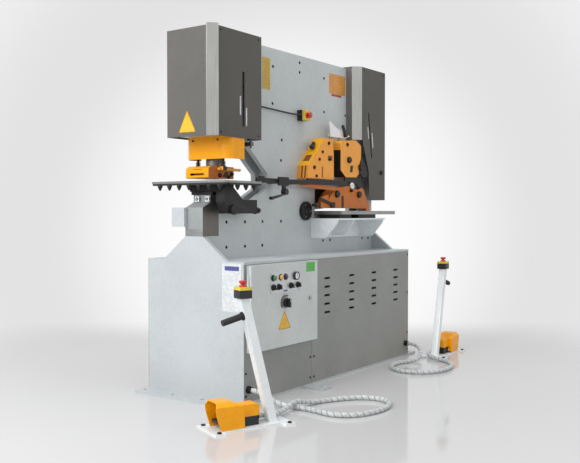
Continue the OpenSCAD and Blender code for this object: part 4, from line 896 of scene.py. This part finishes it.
for cover in ("punch_cover", "shear_cover"):
    recut(cover, [cover_grey, cover_painted_light], 1.6, cover_finish)
recut_plain(("cover_trims", trim_metal, "trim_metal", 1.2),
            ("punch_guard", orange, "orange_paint", 1.3),
            ("punch_ram", dark_steel, "dark_steel", 1.5),
            ("punch", blade_steel, "bright_steel", 0.6),
            ("die", blade_steel, "bright_steel", 1.0),
            ("die_holder", black_steel, "black_steel", 1.6),
            ("punch_table", table_steel, "bright_steel", 1.0),
            ("table_knobs", knob_black, "black_plastic", 1.2),
            ("table_bracket", black_steel, "black_steel", 2.0),
            ("table_lock_knob", black_plastic, "black_plastic", 1.2),
            ("gauge_bar", black_steel, "black_steel", 1.2),
            ("gauge_lever", black_plastic, "black_plastic", 1.5))

# The posts stop just short of the cylinder at the top of their travel
recut("stripper", [orange, black_steel, stripper_painted_shade], 1.4, stripper_finish,
      lower=(1200, 0.6))


def stripper_fittings():
    """Handle along the control side, clamps and a line of painted shade on the nose."""
    shape = Shape()
    shape.lathe(X, (-83, 1171), [(0, -778), (5, -778), (7.6, -775), (7.6, -600), (6.4, -597),
                                 (0, -597)], 0, 24)
    side = -76.5
    for x, z, radius in ((-758, 1140, 9), (-664, 1148, 9), (-688, 1133, 8)):
        shape.stud(Y, (x, z), side, [(0, 0), (radius + 3, 0), (radius + 3, 2.5), (radius, 3.5),
                                     (radius, 11.5), (radius - 2.5, 14.5), (0, 14.5)], 1, 24)
    clamp = [(-733, 1132), (-701, 1132), (-690, 1158), (-712, 1158)]
    shape.prism(rounded(clamp, 4), Y, (side - 4.5, side), 1)
    # Painted shade: a brown line on the nose.
    shape.prism(rectangle((-34, 1166.4), (28, 1169.6), 1), X, (-845.4, -842), 2)
    for y in (-STRIPPER_SIDE, STRIPPER_SIDE):
        for low, high in ((1185, 1193), (1196, 1202), (1205, 1211)):
            ring = [(7, low), (13, low), (13, high), (7, high)]
            shape.lathe(Z, (STRIPPER_POST_X, y), ring, 1, 24)
    piece("stripper_fittings", shape, "stripper", [handle_orange, black_steel, brown_painted_shade],
          "orange_paint", bevel=0.5, smooth=34)


stripper_fittings()


# ------------------------------------------------------------------ shear side

WALL_TOP = 1335.0
FOOT_TOP = 935.5
SLOPE = (Vector((-29, 0, 1224)), Vector((142, 0, 1394)))
SLOPE_OUT = Vector((-0.7050, 0, 0.7092))


def guard_finish(centre, normal, corners):
    """The guards get painted shade inside, and a painted highlight on the slopes that catch the
    light.
    """
    if normal.y > 0.5:
        return 1
    return 2 if normal.z > 0.25 and normal.x < 0.2 else 0


def bar_guard_finish(centre, normal, corners):
    """The wall towards the angle section is black up to the top band."""
    if normal.x < -0.5 and centre.z < WALL_TOP:
        return 3
    return guard_finish(centre, normal, corners)


def shear_table_finish(centre, normal, corners):
    """The feet below the plate are black."""
    return 1 if all(c.z < FOOT_TOP for c in corners) else 0


recut_plain(("shear_beam", dark_steel, "dark_steel", 1.2),
            ("moving_blades", blade_steel, "bright_steel", 0.4),
            ("fixed_blades", blade_steel, "bright_steel", 0.4),
            ("pivot_pin", black_steel, "black_steel", 1.2))
recut("angle_guard", [guard_orange, amber_painted_shade, slope_painted_highlight], 1.3, guard_finish)
recut("bar_guard", [guard_orange, amber_painted_shade, slope_painted_highlight, black_steel], 1.3,
      bar_guard_finish, cuts=[((0, 0, WALL_TOP), UP)])
recut("lower_guard", [deep_orange, amber_painted_shade, deep_orange], 1.2,
      guard_finish)
recut("shear_table", [table_steel, black_steel], 1.2, shear_table_finish)
recut_plain(("shield", shield_clear, "pale_paint", 0.8),
            ("hold_down_lever", black_plastic, "black_plastic", 1.5))


def stand_on(place, way):
    """Matrix that stands Z along a direction at a place."""
    return Matrix.Translation(place) @ Vector(way).to_track_quat("Z", "Y").to_matrix().to_4x4()


def on_slope(share, y):
    """Matrix that stands Z out of the slope of the angle guard, at a share of its length."""
    spot = SLOPE[0].lerp(SLOPE[1], share)
    return stand_on((spot.x, y, spot.z), SLOPE_OUT)


def guard_knobs():
    """Clamping knobs on the slope of the angle guard, and the round knobs with their hubs."""
    shape = Shape()
    for share, y, radius, tall in ((0.61, -100, 16.5, 26), (0.75, -92, 11.5, 20)):
        made = shape.lathe(Z, (0, 0), [
            (0, -1), (7, -1), (7, 7), (radius * 0.8, 8), (radius, 11), (radius, tall - 4),
            (radius * 0.86, tall), (radius * 0.3, tall + 1), (0, tall + 1)], 0, 24)
        shape.turn(made, on_slope(share, y))
    for x, z, radius in ((420, 1277, 20), (279, 1061, 22), (544, 1062, 21), (445, 1086, 12)):
        shape.stud(Y, (x, z), GUARD_FRONT - 10, [
            (0, -0.5), (radius - 1.5, -0.5), (radius - 2.5, 4), (radius * 0.62, 6),
            (radius * 0.55, 3.5), (radius * 0.3, 3.5), (radius * 0.26, 5.4), (0, 5.6)])
    piece("guard_knobs", shape, "machine", [black_plastic], "black_plastic", bevel=0.6, smooth=34)


def guard_opening_shades():
    """Slots and recesses of the guards, each a thin inlay of painted shade, black or brown."""
    shape = Shape()
    for outline, finish in (
            (rounded([(441, 1243), (474, 1245), (466, 1202), (434, 1200)], 5), 0),
            (rectangle((334, 974), (360, 1051), 8), 0),
            (rectangle((177, 1262), (229, 1292), 5), 1),
            (rectangle((110, 1156), (123, 1222), 4), 1)):
        shape.prism(outline, Y, (GUARD_FRONT - 0.7, GUARD_FRONT + 0.3), finish)
    made = shape.box((-22, -27, -0.4), (22, 27, 0.7), 1)
    shape.turn(made, on_slope(0.27, -99))
    for y in (-117, -94):
        slit = [(-39.6, 1150), (-29.9, 1222), (-28.5, 1222), (-38.2, 1150)]
        shape.prism(slit, Y, (y - 5, y + 5), 1)
    piece("guard_opening_shades", shape, "machine", [black_steel, brown_painted_shade], "black_steel", bevel=0.3)


def guard_fittings():
    """Black arms and links that stand on the guards, with a bright clamp ring."""
    shape = Shape()
    arm = [(545, 1203), (556, 1262), (577, 1298), (596, 1287), (652, 1222), (664, 1177),
           (584, 1173)]
    stop = [(384, 1164), (562, 1170), (633, 1124), (612, 1096), (560, 1100), (520, 1126),
            (384, 1142)]
    lever = [(73, 1036), (83, 1039), (216, 1006), (216, 992), (206, 991), (76, 1024)]
    link_bar = [(37, 984), (196, 976), (196, 986), (37, 998)]
    bracket = [(108, 973), (104, 1018), (118, 1042), (190, 1056), (190, 973)]
    for outline, corner, out, depth, finish in (
            (arm, 5, 6, -1, 0), (stop, 4, -6, -16, 0), (lever, 4, 9, 3, 0),
            (rectangle((206, 974), (246, 1010)), 4, 10, -1, 0), (link_bar, 3, -4, -12, 0),
            (bracket, 4, -2, -5, 2)):
        shape.prism(rounded(outline, corner), Y, (GUARD_FRONT - out, GUARD_FRONT - depth), finish)
    shape.stud(Y, (556, 1233), GUARD_FRONT, [
        (0, 5), (17, 5), (18, 8), (18, 15), (15, 18), (0, 18)], 0, 28)
    shape.stud(Y, (37, 991), GUARD_FRONT, [
        (0, -20), (8, -20), (8, 2), (13, 3), (14, 5), (14, 14), (11, 17), (0, 17)], 0, 24)
    shape.stud(Y, (452, 1114), GUARD_FRONT, [
        (0, 1), (21, 1), (21, 9), (18, 12), (11, 12), (10, 8), (0, 8)], 1)
    piece("guard_fittings", shape, "machine", [black_steel, white_plate, deep_orange],
          "black_steel", bevel=0.8, smooth=34)


def pivot_cover():
    """Turned hub on the head of the pivot."""
    shape = Shape()
    shape.stud(Y, PIVOT, PIVOT_FACE, [
        (0, -0.5), (50, -0.5), (50, 0.8), (46, 2), (31, 2), (30, -0.2), (24, -0.2), (23, 4),
        (20, 5.6), (9, 5.6), (8, 3), (0, 3)], 0, 48)
    piece("pivot_cover", shape, "machine", [black_steel], "black_steel", bevel=0.5, smooth=30)


def lever_grip(name, body, start, end, share, profile):
    """Moulded grip on a lever, a share of the way along it."""
    shape = Shape()
    made = shape.lathe(Z, (0, 0), profile, 0, 24)
    shape.turn(made, stand_on(start.lerp(end, share), end - start))
    piece(name, shape, body, [black_plastic], "black_plastic", smooth=50)


low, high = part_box("gauge_lever")
middle = (low[Y] + high[Y]) / 2 / MM
lever_grip("hold_down_grip", "hold_down_lever", Vector((420.5, -118, 1427)),
           Vector((379, -118, 1492)), 0.66,
           [(0, -34), (6, -34), (7, -30), (9.5, -4), (10.5, 14), (9, 20), (5, 22.5), (0, 23)])
lever_grip("gauge_lever_grip", "gauge_lever", Vector((-304, middle, 1050)),
           Vector((-440, middle, 1025)), 0.32,
           [(0, 0), (5, 0), (6.5, 8), (8.5, 70), (8, 84), (5, 90), (0, 91)])
guard_knobs()
guard_opening_shades()
guard_fittings()
pivot_cover()
cap_screws("pivot_screws", "machine",
           [across(Y, on_circle(PIVOT, 38, math.radians(turn)), PIVOT_FACE - 1.8)
            for turn in (0, 120, 240)], FRONT, 4.6, 2.4, bolt_steel)


# ------------------------------------------------------------------ control box

START = (-673, 616)
LAMPS = {amber_lens: (-608, 616), blue_lens: (-565, 616)}
DIAL = (-475, 616)
DIAL_TURNS = [math.radians(225 - k * 27) for k in range(11)]
SELECTORS = [(-673, 568), (-626, 568), (-520, 568), (-457, 568)]
SWITCH = (-565, 482)
# Turned parts of the door: (radius, how far it stands out of the plate or the door)
FITTING_RIM = [(0, 0), (17, 0), (17, 2.2), (15.6, 3), (12.6, 3), (12.2, 1), (0, 1)]
LAMP_LENS = [(0, 1), (12, 1), (12, 8), (10.5, 10.2), (6, 11), (0, 11.2)]
DIAL_RIM = [(0, 0), (22, 0), (22, 10.5), (20.6, 12), (18, 12), (17, 9), (0, 9)]
DIAL_FACE = [(0, 9), (16.6, 9), (16.6, 9.6), (0, 9.6)]
DIAL_HUB = [(0, 9.6), (2, 9.6), (2, 11), (0, 11)]
SWITCH_RIM = [(0, 0), (32, 0), (32, 2.4), (30, 4), (26, 4), (25, 2.6), (0, 2.6)]
START_CAP = [(0, -12), (4, -12), (4, 7), (11.4, 7.4), (12, 8.4), (12, 16), (11, 17.6), (8.6, 17.9),
             (0, 17.2)]
SELECTOR_HUB = [(0, -12), (4, -12), (4, 3.3), (12.6, 3.3), (13, 4.6), (13, 8.6), (11.6, 10),
                (0, 10)]
SWITCH_HUB = [(0, -12), (4, -12), (4, 4.3), (23, 4.3), (24, 5.6), (24, 13.6), (21.6, 16), (0, 16)]

recut_plain(("control_door", door_grey, "pale_paint", 0.9),
            ("door_lock", bolt_steel, "bright_steel", 0.8))


def control_plate():
    """Plate of the door with the rims of its fittings, the lamps, the dial and the switch rim."""
    shape = Shape()
    finishes = [plate_metal, black_plastic, amber_lens, blue_lens, white_plate, trim_metal,
                label_blue, dark_steel]
    shape.prism(rectangle((-696, 536), (-438, 642), 7), Y, (PLATE_FRONT, DOOR_FRONT), 0)
    for place in [START] + SELECTORS + list(LAMPS.values()):
        shape.stud(Y, place, PLATE_FRONT, FITTING_RIM, 1)
    for lens, place in LAMPS.items():
        shape.stud(Y, place, PLATE_FRONT, LAMP_LENS, finishes.index(lens))
    shape.stud(Y, DIAL, PLATE_FRONT, DIAL_RIM, 1, 40)
    shape.stud(Y, DIAL, PLATE_FRONT, DIAL_FACE, 4, 40)
    needle = [(-475.8, 612), (-474.4, 612.6), (-467, 627), (-468.2, 627.4)]
    shape.prism(needle, Y, (PLATE_FRONT - 10.4, PLATE_FRONT - 9.6), 1)
    shape.stud(Y, DIAL, PLATE_FRONT, DIAL_HUB, 1, 16)
    shape.stud(Y, SWITCH, DOOR_FRONT, SWITCH_RIM, 5, 48)
    shape.prism(rectangle((-583, 540), (-549, 549), 2), Y, (PLATE_FRONT - 0.7, PLATE_FRONT), 6)
    arc = [on_circle(SWITCH, radius, math.radians(turn))
           for radius, turns in ((41, range(65, 216, 10)), (35, range(215, 64, -10)))
           for turn in turns]
    shape.prism(arc, Y, (DOOR_FRONT - 7, DOOR_FRONT), 7)
    piece("control_plate", shape, "control_door", finishes, "bright_steel", ["control_panel"],
          bevel=0.35, smooth=30)


def turned_handle(name, node, place, face, hub, sides, bar, mark, bevel):
    """Handle of a switch: a hub, a bar across it and a white mark towards its end.

    bar is half its width at the foot and at the head, half its length, its corners' radius, and
    how far its back and its front stand out; mark is half its width, and its ends along the bar.
    """
    x, z = place
    foot, head, reach, corner, back, front = bar
    shape = Shape()
    shape.stud(Y, place, face, hub, 0, sides)
    low, high = z - reach, z + reach
    outline = [(x - foot, low), (x + foot, low), (x + head, high), (x - head, high)]
    shape.prism(rounded(outline, corner), Y, (face - front, face - back), 0)
    half, start, end = mark
    shape.box((x - half, face - front - 0.4, z + start), (x + half, face - front + 0.1, z + end), 1)
    piece(name, shape, node, [black_plastic, white_plate], "black_plastic", [node], bevel=bevel,
          smooth=35)


def start_cap():
    shape = Shape()
    shape.stud(Y, START, PLATE_FRONT, START_CAP, 0, 36)
    piece("start_cap", shape, "start_button", [green_plastic], "green_plastic", ["start_button"],
          smooth=35)


control_plate()
bars("dial_marks", "control_door",
     [across(Y, on_circle(DIAL, 13.2, turn), PLATE_FRONT - 9.7) for turn in DIAL_TURNS],
     [across(Y, on_circle((0, 0), 1, turn), 0.0) for turn in DIAL_TURNS],
     (0, 0, 0), (3.2, 0.4, 0.7), 1)
cap_screws("control_plate_screws", "control_door",
           [(x, PLATE_FRONT - 0.7, z) for x in (-689, -445) for z in (543, 635)],
           FRONT, 3.4, 1.6, bolt_steel)
start_cap()
for number, spot in enumerate(SELECTORS, 1):
    turned_handle(f"selector_knob_{number}", f"selector_{number}", spot, PLATE_FRONT,
                  SELECTOR_HUB, 30, (4, 3, 12, 2.4, 9.6, 22), (0.9, 1, 11), 0.7)
turned_handle("main_switch_handle", "main_switch", SWITCH, DOOR_FRONT, SWITCH_HUB, 48,
              (7, 5.4, 23, 3.4, 15.4, 34), (1.2, 4, 21), 1.1)


# ------------------------------------------------------------------ emergency stops

STOP_HALF = 31
STOP_COLLAR = [(0, 49.6), (17, 49.6), (17, 55.5), (15.6, 58), (9, 58), (8.6, 52), (0, 52)]
STOP_GLAND = [(0, 0), (9, 0), (9, 9), (8.2, 10), (8.8, 11), (8.8, 25), (7.4, 28), (6, 28), (6, 10),
              (0, 10)]
STOP_MUSHROOM = [(0, 42), (8, 42), (8, 62.8), (12.4, 63), (14.2, 64.4), (17.6, 68.4), (18, 70),
                 (18, 74), (16.8, 76.6), (14, 77.8), (0, 78)]


def stop_housings():
    """Black box, narrow joint, yellow lid and red collar of each stop, and the lead's gland."""
    shape = Shape()
    for place in STOP_PLACES.values():
        made = []
        for half, corner, span, finish in (
                (STOP_HALF, 4, (0, 34.5), 0), (30.2, 3.6, (34.5, 36), 0),
                (STOP_HALF, 4, (36, 50), 1)):
            made += shape.prism(rectangle((-half, -half), (half, half), corner), Z, span, finish)
        made += shape.lathe(Z, (0, 0), STOP_COLLAR, 2, 36)
        shape.turn(made, place)
    shape.stud(X, (-85, STOP[1]), STOP[0] - STOP_HALF, STOP_GLAND, 0, 24)
    piece("stop_housings", shape, "machine", [black_plastic, yellow_plastic, red_plastic],
          "yellow_plastic", ["estop_boxes"], bevel=0.9, smooth=32)


def stop_button(side):
    shape = Shape()
    shape.turn(shape.lathe(Z, (0, 0), STOP_MUSHROOM, 0, 40), STOP_PLACES[side])
    piece(f"{side}_stop_mushroom", shape, f"{side}_estop_button", [red_plastic], "red_plastic",
          [f"{side}_estop_button"], smooth=35)


stop_housings()
for side in STOP_PLACES:
    stop_button(side)

lid_screws = [(u, v, 49.6) for u in (-25, 25) for v in (-25, 25)]
cap_screws("stop_lid_screws", "machine",
           [place @ Vector(p) for place in STOP_PLACES.values() for p in lid_screws],
           [place.to_3x3() @ Vector(UP) for place in STOP_PLACES.values() for _ in lid_screws],
           2.8, 1.4, black_screw)


# ------------------------------------------------------------------ pedal consoles

GRIP_PLACE = on_post(496)
GRIP_AXIS = Vector((-math.cos(POST_LEAN), 0, -math.sin(POST_LEAN)))
GRIP_SPAN = (19, 130)
GRIP_REACH = 21.5
RIBS_START = 36
TREAD_START = Vector((-146, 0, 43.2))


def is_grip(console, corner):
    here = console.inverted() @ corner - GRIP_PLACE
    along = here.dot(GRIP_AXIS)
    return (GRIP_SPAN[0] < along < GRIP_SPAN[1]
            and (here - GRIP_AXIS * along).length < GRIP_REACH)


def stand_finish(centre, normal, corners):
    """The grips are rubber, the rest of the stands is painted."""
    return int(any(all(is_grip(console, c) for c in corners) for console in CONSOLES.values()))


recut("pedal_stands", [white_paint, grip_rubber], 1.4, stand_finish)
recut("pedal_hoods", [orange], 2.2, segments=3)
recut_plain(("pedal_bodies", black_plastic, "black_plastic", 1.2),
            ("left_treadle", black_plastic, "black_plastic", 1.0),
            ("right_treadle", black_plastic, "black_plastic", 1.0))
grow("grip_ribs", RINGS, "machine",
     [console @ (GRIP_PLACE + GRIP_AXIS * RIBS_START) for console in CONSOLES.values()],
     [console.to_3x3() @ GRIP_AXIS for console in CONSOLES.values()],
     {"Count": 11, "Pitch": 7.6 * MM, "Ring radius": 13.6 * MM, "Wire radius": 1.5 * MM},
     grip_rubber, smooth=80)
for side, console in CONSOLES.items():
    bars(f"{side}_tread_ribs", f"{side}_treadle", [console @ TREAD_START],
         console.to_3x3() @ Vector(RIGHT), (9.5, 0, 0), (3.0, 80.0, 1.8), 10)


# ------------------------------------------------------------------ plates and fields of colour

def field(name, axis, outline, face, thick, finish, body="machine", slot="yellow_plastic"):
    """Thin plate on a face, towards the low side of an axis."""
    shape = Shape()
    shape.prism(outline, axis, (face, face - thick))
    piece(name, shape, body, [finish], slot, bevel=0.2)


field("tonnage_plate", Y, rectangle((-375, 1634), (-301, 1810), 5), FRAME_FRONT, 0.8, label_yellow)
field("capacity_plate", Y, rectangle((311, 1692), (501, 1815), 6), FRAME_FRONT, 0.8, label_orange)
field("capacity_strip", Y, rectangle((340, 1676), (455, 1690), 2), FRAME_FRONT, 0.7, label_red)
field("rating_plate", X, rectangle((-308, 456), (-187, 696), 6), CABINET_END, 0.8, label_white)
field("rating_strip", X, rectangle((-296, 660), (-205, 682), 2), CABINET_END - 0.8, 0.4, label_blue)
field("door_triangle_edge", Y, rounded([(-627, 346), (-516, 346), (-574, 442)], 5), DOOR_FRONT, 0.6,
      sign_rim, "control_door")
field("door_triangle", Y, rounded([(-619, 351), (-524, 351), (-574, 433)], 4), DOOR_FRONT - 0.6,
      0.4, sign_yellow, "control_door")
field("door_tag", Y, rectangle((-373, 630), (-291, 681), 3), DOOR_FRONT, 0.8, label_green,
      "control_door", "green_plastic")
for ring, (drop, finish) in enumerate(((0, sign_rim), (5, sign_yellow))):
    foot, side = 1353 + drop * 0.75, drop * 1.35
    corners = [(-42 + side, foot), (76 - side, foot), (17, 1466 - drop * 1.5)]
    field(f"cover_triangle_{ring}", X, rounded(corners, 5 - ring), COVER_END - ring * 0.4, 0.5,
          finish)
for side, low, high in (("left", (-688, 1451), (-678, 1549)),
                        ("right", (-638, 1398), (-628, 1492))):
    field(f"punch_scale_{side}", Y, rectangle(low, high, 1), PUNCH_COVER_FRONT, 0.7, scale_white)
bars("punch_scale_marks", "machine",
     [(x, PUNCH_COVER_FRONT - 0.9, z) for x, z in ((-681, 1455), (-631, 1402))], RIGHT,
     (0, 0, 4.5), (3.0, 0.4, 0.9), 20, 5.0, (2.0, 1.0, 1.0))
for side, x in (("left", -669), ("right", -652)):
    field(f"punch_slot_lip_{side}", Y, rectangle((x, 1394), (x + 5, 1677), 1.5),
          PUNCH_COVER_FRONT, 0.8, black_plastic, slot="black_plastic")


def shear_scales():
    """The two scales along the slope of the shear cover's slot."""
    start, end = Vector((650, 0, 1592)), Vector((692, 0, 1303))
    way = (end - start).normalized()
    side_way = Vector((-way.z, 0, way.x))
    shape = Shape()
    for low, high, offset in ((0.30, 0.56, -24), (0.44, 0.78, 24)):
        a, b = (start.lerp(end, share) + side_way * offset for share in (low, high))
        half = side_way * 4.5
        shape.prism([(c.x, c.z) for c in (a + half, b + half, b - half, a - half)], Y,
                    (SHEAR_COVER_FRONT - 0.7, SHEAR_COVER_FRONT))
    piece("shear_scales", shape, "machine", [scale_white], "yellow_plastic")


shear_scales()


# ------------------------------------------------------------------ screws and small hardware

PLATE_HOLES = [
    (-273, 1770), (-278, 1562), (-9, 1773), (-190, 1362), (-197, 1245), (254, 1773), (254, 1567),
    (-9, 1830), (455, 1769), (504, 1569), (-683, 897), (-528, 897), (-372, 897), (-197, 897),
    (-684, 765), (-528, 765), (-374, 765), (244, 774), (325, 775), (720, 777), (800, 775)]
GUARD_SCREWS = [(188, 3, 1366), (84, 2, 1264), (118, 2, 1310), (196, 3, 1270), (30, 3, 1214),
                (52, 2, 1164), (404, 3, 1372)]
COVER_SCREWS = [(x, PUNCH_COVER_FRONT - 0.8, z) for x in (-838, -530) for z in (1352, 1862)]
COVER_SCREWS += [(x, SHEAR_COVER_FRONT - 0.8, 1862) for x in (590, 850)]
BOLT_ROWS = (-46, 22)
BOLT_HEIGHT = 1017
BOLT_PLATE_HALF = 14
BOLT_WASHER = [(0, 0), (11.6, 0), (11.6, 1.5), (10.8, 2.1), (0, 2.1)]

for name, points, facing, radius, height in (
        ("plate_screws", [(x, FRAME_FRONT + 4.2, z) for x, z in PLATE_HOLES], FRONT, 10.8, 6.0),
        ("guard_screws", [(x, GUARD_FRONT - out, z) for x, out, z in GUARD_SCREWS], FRONT,
         9.0, 6.0),
        ("cover_screws", COVER_SCREWS, FRONT, 4.5, 2.0),
        ("guard_corner_screws", [(-775.2, y, 1322) for y in (-78, 92)], LEFT, 5.5, 3.0),
        ("bolster_bolts", [(-822, y, BOLT_HEIGHT) for y in BOLT_ROWS], LEFT, 8.0, 6.0)):
    cap_screws(name, "machine", points, facing, radius, height, black_screw)


def bolt_washers():
    """Square plate and round washer under each bolt of the bolster."""
    shape = Shape()
    for y in BOLT_ROWS:
        low, high = ((y + side, BOLT_HEIGHT + side) for side in (-BOLT_PLATE_HALF, BOLT_PLATE_HALF))
        shape.prism(rectangle(low, high, 3), X, (-821, -818.6), 0)
        shape.stud(X, (y, BOLT_HEIGHT), -820.5, BOLT_WASHER, 0)
    piece("bolt_washers", shape, "machine", [white_plate], "bright_steel", bevel=0.4, smooth=30)


bolt_washers()


# ------------------------------------------------------------------ light, floor and backdrop

# Painted pool of light on the backdrop and the far floor: brightest about LOOK.
GLOW_SPAN = (0.9555, 0.995)
RIM_SPAN = (0.905, 0.944)
RIM_SHARE = 0.4
BACKDROP_FAR = rgb(227, 227, 227)
BACKDROP_NEAR = rgb(254, 254, 254)
FADE_ROUND = (1.7, 3.3)
FADE_BEHIND = (1.0, 2.3)
FLOOR_HALF = 40.0
WORLD_LIGHT = 0.57
STUDIO_LAMPS = (
    ("left_light", (-5.2, 0.4, 3.4), (0, 0, 0.9), (3.2, 3.2), 205),
    ("front_light", (0.6, -5.6, 2.2), (0, 0, 0.7), (3.6, 2.2), 28),
    ("top_light", (-0.6, -0.6, 5.2), (0, 0, 0), (4.0, 3.0), 80))


def backdrop_light_pool(nodes, way):
    """Colour of the backdrop along a direction, a painted pool of light: nearly white about LOOK,
    paler again at the rim.
    """
    facing = nodes.vector("DOT_PRODUCT", way, LOOK, output="Value")
    rim = 1.0 - nodes.step(facing, *RIM_SPAN)
    glow = nodes.step(facing, *GLOW_SPAN) + rim * RIM_SHARE
    return nodes.blend(glow, BACKDROP_FAR, BACKDROP_NEAR)


def seen_directly(nodes):
    """1 for what the camera, gloss and glass see; 0 for the light that falls on the object."""
    seen = nodes.node("ShaderNodeLightPath", output="Is Camera Ray")
    return seen.most(seen.also("Is Glossy Ray")).most(seen.also("Is Transmission Ray"))


def make_floor():
    """Pale floor that keeps the shadow and further out goes over into the backdrop, glowing with
    its painted pool of light.
    """
    mesh = bpy.data.meshes.new("floor")
    corners = rectangle((-FLOOR_HALF, -FLOOR_HALF), (FLOOR_HALF, FLOOR_HALF))
    mesh.from_pydata([(x, y, 0) for x, y in corners], [], [(0, 1, 2, 3)])
    f = Finish("floor coating", Base_Color=rgb(206, 206, 207))
    f.feed(Roughness=0.05 + f.clouds(f.place(), 1.6) * 0.06)
    here = f.place()
    x, y, _ = f.axes(here)
    distance = f.vector("LENGTH", here, output="Value")
    away = f.step(distance, *FADE_ROUND).most(f.step(x * LOOK.x + y * LOOK.y, *FADE_BEHIND))
    way = f.vector("NORMALIZE", f.vector("SUBTRACT", here, EYE))
    glow = f.node("ShaderNodeEmission", {}, {"Color": backdrop_light_pool(f, way)})
    mix = f.node("ShaderNodeMixShader", {}, {0: away * seen_directly(f), 1: f.shader, 2: glow})
    f.plug(f.output.inputs["Surface"], mix)
    mesh.materials.append(f.material)
    link("floor", mesh)


def make_world():
    """Plain studio light, with the backdrop and its painted pool of light in its place for what is
    seen directly.
    """
    scene.world = bpy.data.worlds.new("studio")
    scene.world.use_nodes = True
    w = Nodes(scene.world.node_tree)
    w.tree.nodes.clear()
    lit = w.node("ShaderNodeBackground", {}, {"Color": (1.0, 1.0, 1.0), "Strength": WORLD_LIGHT})
    way = w.node("ShaderNodeTexCoord", output="Generated")
    seen = w.node("ShaderNodeBackground", {}, {"Color": backdrop_light_pool(w, way), "Strength": 1.0})
    mix = w.node("ShaderNodeMixShader", {}, {0: seen_directly(w), 1: lit, 2: seen})
    w.node("ShaderNodeOutputWorld", {}, {"Surface": mix}, None)


def make_lamp(name, place, target, size, power):
    data = bpy.data.lights.new(name, "AREA")
    data.shape = "RECTANGLE"
    data.size, data.size_y = size
    data.energy = power
    aim(data, place, Vector(target) - Vector(place))


make_floor()
make_world()
for lamp in STUDIO_LAMPS:
    make_lamp(*lamp)

scene.view_settings.view_transform = "Standard"
